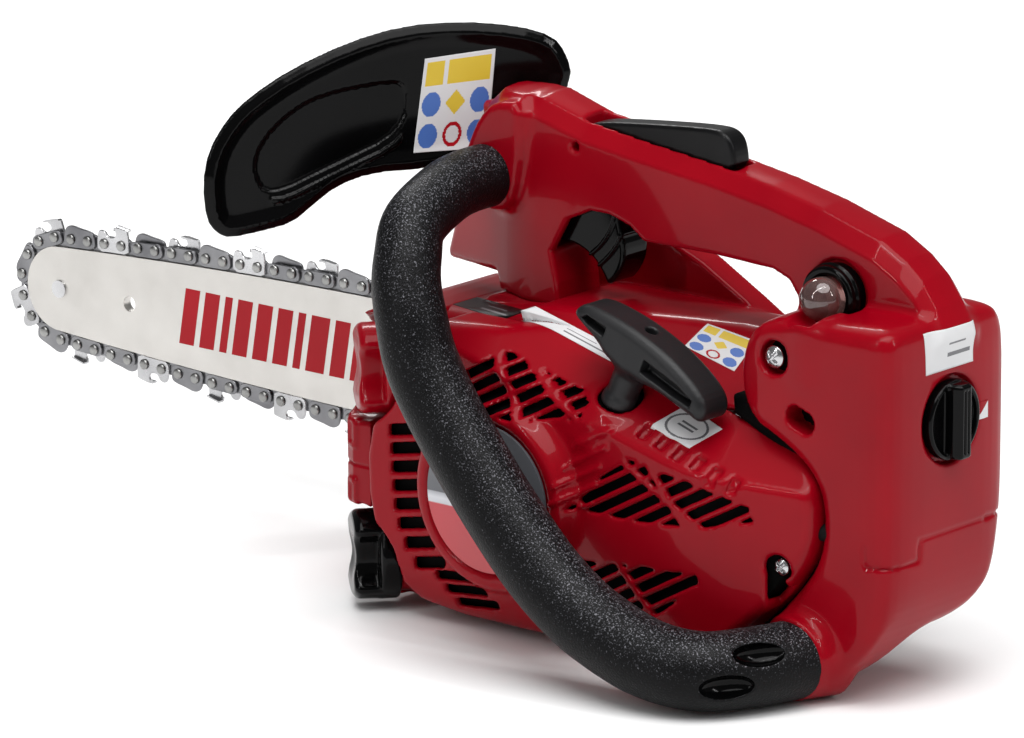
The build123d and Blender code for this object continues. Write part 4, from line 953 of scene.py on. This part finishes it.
# ---- right side
def clutch_cover():
    grid = Grid((-40, -66, 18), (91, -34, 110), STEP)
    side = curve([(88, 26), (88, 105), (40, 107), (-20, 100), (-36, 84), (-36, 40), (-14, 22), (60, 22)], 2)
    base = prism(grid, side, (-63, -10), 4)
    base = either(base, both(np.hypot(grid.x, grid.z - CRANK_Z) - 30, slab(grid.y, -64.5, -50), 3), 4)
    shell = without(both(base, grid.y + 37, 0.6), base + COVER_WALL)
    mouth = both(slab(grid.x, 70, 100), both(slab(grid.y, -60, -30), slab(grid.z, 28.5, 102.5), 3))
    shell = without(shell, mouth, 0.6)
    for x in (50, 74):
        shell = either(shell, bar(grid, (x, -61.5, BAR_Z), (x, -53.4, BAR_Z), 7.5))
        shell = without(shell, bar(grid, (x, -66, BAR_Z), (x, -50, BAR_Z), 4.4))
    for index in range(5):
        rib = both(slab(grid.x - 0.4 * grid.z, -22 + index * 9, -19 + index * 9), slab(grid.z, 78, 94), 1)
        shell = without(shell, both(rib, grid.y + 61.5), 0.6)
    return skin("clutch_cover_shell", grid, shell, RED)


# ---- badge, labels, small parts
def badge_material():
    shader = Shader("badge_print", **{"Roughness": 0.3, "Coat Weight": 0.5, "Coat Roughness": 0.05})
    split = shader.node("ShaderNodeSeparateXYZ")
    shader.link(shader.place, split.inputs["Vector"])
    span = shader.node("ShaderNodeMapRange", **{"From Min": 0.030, "From Max": 0.090})
    shader.link(split.outputs["Z"], span.inputs["Value"])
    stops = [(0.0, (0.50, 0.02, 0.03)), (0.40, (0.56, 0.03, 0.045)), (0.405, (0.65, 0.66, 0.70)),
             (0.44, (0.75, 0.76, 0.80)), (0.475, (0.45, 0.46, 0.50)), (0.48, (0.11, 0.115, 0.13)),
             (1.0, (0.15, 0.155, 0.17))]
    shader.colour(span.outputs["Result"], stops)
    shader.relief(shader.noise(700), 0.03, 0.0003)
    return shader.material


def guard_point(y, z):
    """Place on the hand guard's sheet at a width and a height."""
    share = (y - GUARD_START[1]) / (GUARD_END[1] - GUARD_START[1])
    return (GUARD_START[0] + share * (GUARD_END[0] - GUARD_START[0]), y, z)


def in_disc(u, v, centre_u, centre_v, radius, stretch=1.0):
    return math.hypot((u - centre_u) * stretch, v - centre_v) < radius


def safety_paint(u, v):
    """Three rows of plain coloured fields: a yellow row, then discs and a lozenge."""
    column, row = min(int(u * 3), 2), min(int(v * 3), 2)
    centre = ((column + 0.5) / 3, (row + 0.5) / 3)
    if row == 2:
        return 1 if (0.05 < u < 0.30 or 0.36 < u < 0.95) and 0.70 < v < 0.95 else 0
    if row == 1 and column == 1:
        return 1 if abs(u - centre[0]) / 0.14 + abs(v - centre[1]) / 0.13 < 1 else 0
    if not in_disc(u, v, *centre, 0.13):
        return 0
    if column != 1:
        return 2
    return 0 if in_disc(u, v, *centre, 0.09) else 3


def oval_paint(u, v):
    ring = in_disc(u, v, 0.5, 0.5, 0.42, 0.95) and not in_disc(u, v, 0.5, 0.5, 0.37, 0.95)
    bars = 0.3 < u < 0.7 and (0.42 < v < 0.48 or 0.54 < v < 0.60)
    return int(ring or bars)


def stripe_paint(u, v):
    """Two plain lines, the upper one shorter."""
    return int(u > 0.44 and (0.30 < v < 0.38 and u < 0.92 or 0.58 < v < 0.66 and u < 0.80))


def arrow_paint(u, v):
    return int(0.04 < v < u < 0.96)


def labels(guard, starter_side, engine_top, housing_rear):
    """Generic labels where the maker puts them, with plain fields in place of words and pictures."""
    safety = [LABEL_WHITE, LABEL_YELLOW, LABEL_BLUE, PRINT_RED], safety_paint
    grey_lines = [LABEL_WHITE, LABEL_GREY], stripe_paint
    on_slope, ahead, on_guard = (0.2, -0.58, -0.79), (1, 0, 0), (0.786, -0.619, 0)
    corners = [guard_point(y, z) for y, z in ((21, 176), (-2, 177), (-5, 216), (17, 213))]
    on_shield = label("guard_label", corners, guard, on_guard, *safety, (84, 126))
    finish_piece(on_shield, (), "hand_guard")
    patches = [
        label("cover_label", [(-67.5, 53.4, 97.4), (-87.1, 53.6, 92.1), (-94.3, 42.5, 98.5), (-75.7, 40.7, 104.6)],
              starter_side, on_slope, [LABEL_WHITE, LABEL_GREY], oval_paint, (90, 66)),
        label("plain_strip", [(9.1, 39.8, 127), (-37.4, 40.2, 115), (-35.7, 35.2, 119), (4.4, 35.2, 129)],
              starter_side, on_slope, *grey_lines),
        label("black_plate", [(51.8, 30.9, 121.6), (18.9, 37.9, 121.6), (20.5, 21, 121.6), (51.5, 16.2, 121.6)],
              engine_top, (0.621, -0.741, -0.255), [LABEL_BLACK, LABEL_GREY], stripe_paint),
        label("engine_label", [(-60, 23.5, 122), (-84.3, 23.5, 116.5), (-84.5, 10, 125), (-62, 11, 127)],
              engine_top, on_slope, *safety, (84, 84)),
        label("rear_label", [(-180, 22, 129), (-180, -7, 129), (-180, -7, 145), (-180, 22, 145)],
              housing_rear, ahead, *grey_lines),
        label("arrow_mark", [(-180, -9.5, 105), (-180, -17, 105), (-180, -17, 112), (-180, -9.5, 112)],
              housing_rear, ahead, [RED, LABEL_WHITE], arrow_paint, (30, 30)),
    ]
    for patch in patches:
        finish_piece(patch)


def phillips_screw(name, place, axis, radius):
    """Domed screw head with a cross-shaped recess."""
    grid, local = grid_on_axis(place, axis, [radius + 1] * 3, 0.2)
    away = np.hypot(grid.x, grid.y)
    head = both(both(away - radius, slab(grid.z, -1.2, 1.8), 0.5),
                np.sqrt(away ** 2 + (grid.z + radius * 1.1) ** 2) - radius * 1.1 - 1.6)
    arms = np.minimum(both(np.abs(grid.x) - 0.55, np.abs(grid.y) - radius * 0.62),
                      both(np.abs(grid.y) - 0.55, np.abs(grid.x) - radius * 0.62))
    head = without(head, both(arms, 0.1 - grid.z, 0.2), 0.3)
    return placed(skin(name, grid, head, BRIGHT_STEEL), local)


def rope_and_screws():
    ring_profile = [(9.0, -1.0), (10.6, -0.6), (11.0, 0.8), (9.8, 1.8), (8.4, 1.0), (8.2, -0.8)]
    grid, local = grid_on_axis(along_rope(-4.2), ROPE_UP, (13, 13, 4), 0.3)
    away = np.hypot(grid.x, grid.y)
    ring = polygon(curve(ring_profile, 1), away, grid.z)
    finish_piece(placed(skin("guide_ring", grid, ring, BRIGHT_STEEL), local), ["rope_guide"])
    count, rope_r, twist = 60, 1.75, 0.12
    path = [along_rope(-8 + 28 * k / (count - 1)) for k in range(count)]
    radii = [rope_r + twist * math.cos(k * 2.1) for k in range(count)]
    rope = sweep("starter_cord", path, radii, ROPE, 20)
    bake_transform(rope)
    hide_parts("starter_rope")
    for index, (place, radius) in enumerate((((-118.8, 42.5, 131), 4.4), ((-128.5, 49, 52), 3.4))):
        finish_piece(phillips_screw(f"cross_screw_{index + 1}", place, (0, 1, 0), radius),
                     ["screws"] if index == 0 else ())
    pins = [disc(46, 192, 2.9, -16.5, 14, 24), disc(-8, 172, 1.9, -10, 14, 24), disc(-3, 194, 1.4, -8, 11, 24)]
    finish_piece(joined("pivot_pins", pins, DARK_STEEL), ["handle_pins"])
    # Dark discs at the bottom of the screw recess and the port: painted shade.
    shade_discs = [disc(-119.5, 131, 6.4, 36.3, 37.3, 28), disc(-132.5, 109, 7.0, 33.3, 34.3, 28)]
    finish_piece(joined("recess_shade_discs", shade_discs, PAINTED_SHADE))
    # Dark band filling the gap between the starter cover and the housing: painted shade that also hides the floor.
    grid = Grid((-152, 26, 12), (-94, 40, 114), 1.0)
    gap_shade = prism(grid, [(-95, 112), (-103, 112), (-127, 102), (-143, 90), (-149, 70), (-146, 54), (-137, 42),
                        (-128, 34), (-127, 22), (-104, 16), (-100, 24), (-122, 42), (-130, 50), (-136, 60),
                        (-138, 72), (-132, 84), (-118, 94), (-96, 104)], (29, 38), 1)
    finish_piece(skin("gap_shade_sheet", grid, gap_shade, PAINTED_SHADE))


# ---- put everything together
starter, shade_liner_piece = starter_cover()
finish_piece(starter, ["starter_cover"])
# Dark sheet under the starter cover's slots: painted shade.
finish_piece(shade_liner_piece)
tanks = finish_piece(tank_block(), ["fuel_tank", "oil_tank"])
cover = finish_piece(engine_cover(), ["cylinder_cover"])
rear = finish_piece(housing(), ["handle_frame", "handle_top_cover", "air_cleaner_cover"])
finish_piece(front_handle(), ["front_handle"])
shield = finish_piece(hand_guard(), ["hand_guard"], "hand_guard")
finish_piece(starter_grip(), ["starter_grip"], "starter_grip")
finish_piece(tank_cap("fuel_cap_red", FUEL_CAP, RED), ["fuel_cap"], "fuel_cap")
finish_piece(tank_cap("oil_cap_black", OIL_CAP, BLACK_GLOSS), ["oil_cap"], "oil_cap")
finish_piece(cleaner_knob(), ["cleaner_knob"], "cleaner_knob")
finish_piece(lockout(), ["throttle_lockout"], "throttle_lockout")
finish_piece(trigger(), ["throttle_trigger"], "throttle_trigger")
collar, dome = primer()
finish_piece(collar, ["primer_base"])
finish_piece(dome, ["primer_bulb"], "primer_bulb")
finish_piece(clutch_cover(), ["clutch_cover"])
chain()
finish_piece(bar_graphic())
labels(shield, starter, cover, rear)
rope_and_screws()

slot_materials = {
    "red_shell": RED, "black_plastic": BLACK_SATIN, "black_gloss": BLACK_GLOSS, "grip_foam": FOAM,
    "rubber": RUBBER, "cast_alloy": CAST, "steel": DARK_STEEL, "chain_steel": CHAIN_STEEL, "bar_steel": BAR_STEEL,
    "badge_metal": badge_material(), "bulb_clear": BULB_PLASTIC, "rope_nylon": ROPE, "filter_felt": FELT,
}
slot_of = {part["node"]: part["material_slot"] for part in frame["record"]["subparts"]}
bright = {"screws", "bar_nuts", "bar_studs", "nose_rivet", "rope_guide", "spiked_bumper"}
for name, node in nodes.items():
    chosen = BRIGHT_STEEL if name in bright else slot_materials[slot_of[name]]
    if not node.data.materials:
        node.data.materials.append(chosen)
    for index in range(len(node.data.materials)):
        node.data.materials[index] = chosen
for name in ("bar_nuts", "spiked_bumper", "screws", "muffler_cover", "muffler", "cylinder", "guide_bar",
             "choke_knob", "ignition_switch"):
    bevel(nodes[name], 0.35)


# ---- floor, light, camera
def floor_material():
    shader = Shader("floor", **{"Roughness": 0.9, "Specular IOR Level": 0.1})
    shader.colour(shader.noise(3), [(0.3, (0.90, 0.90, 0.90)), (0.7, (0.92, 0.92, 0.92))])
    return shader.material


floor_mesh = bpy.data.meshes.new("floor")
FLOOR_REACH, FLOOR_Z = 30, -0.0005
corners = [(-1, -1), (1, -1), (1, 1), (-1, 1)]
floor_mesh.from_pydata([(x * FLOOR_REACH, y * FLOOR_REACH, FLOOR_Z) for x, y in corners], [], [(0, 1, 2, 3)])
link_object("floor", floor_mesh, floor_material())


def softbox(name, place, aim, size, power):
    light = bpy.data.lights.new(name, "AREA")
    light.shape = "RECTANGLE"
    light.size, light.size_y = size
    light.energy = power
    lamp = bpy.data.objects.new(name, light)
    lamp.location = place
    lamp.rotation_euler = (Vector(aim) - Vector(place)).to_track_quat("-Z", "Y").to_euler()
    collection.objects.link(lamp)


sun_light = bpy.data.lights.new("overhead", "SUN")
sun_light.energy = 2.7
sun_light.angle = math.radians(58)
sun = bpy.data.objects.new("overhead", sun_light)
sun.rotation_euler = Vector((-0.24, 0.16, 1)).to_track_quat("Z", "Y").to_euler()
collection.objects.link(sun)
softbox("side_strip", (0.35, 1.8, 1.1), (0.05, 0, 0.1), (0.05, 1.1), 6)
softbox("rear_strip", (-1.8, -0.25, 1.2), (-0.1, 0, 0.1), (0.06, 1.1), 6)
softbox("back_top", (1.5, -1.2, 1.7), (0, 0, 0.1), (1.0, 0.3), 18)
softbox("top_strip", (-0.17, 0.95, 2.0), (0.62, 0.52, 0.1), (2.2, 0.07), 9)
world = bpy.data.worlds.new("studio")
bpy.context.scene.world = world
world.use_nodes = True
world.node_tree.nodes["Background"].inputs["Color"].default_value = (1, 1, 1, 1)
world.node_tree.nodes["Background"].inputs["Strength"].default_value = 0.17

view_axis = Vector((-0.62146, 0.74063, 0.25545)).normalized()
aim_point = Vector((0.00055, 0.05379, 0.10834))
VIEW_DISTANCE = 3.5
camera_data = bpy.data.cameras.new("camera")
camera_data.lens = 319.9
camera_data.clip_end = 200
camera = bpy.data.objects.new("camera", camera_data)
camera.location = aim_point + view_axis * VIEW_DISTANCE
camera.rotation_euler = view_axis.to_track_quat("Z", "Y").to_euler()
collection.objects.link(camera)
bpy.context.scene.camera = camera
bpy.context.scene.view_settings.view_transform = "Standard"
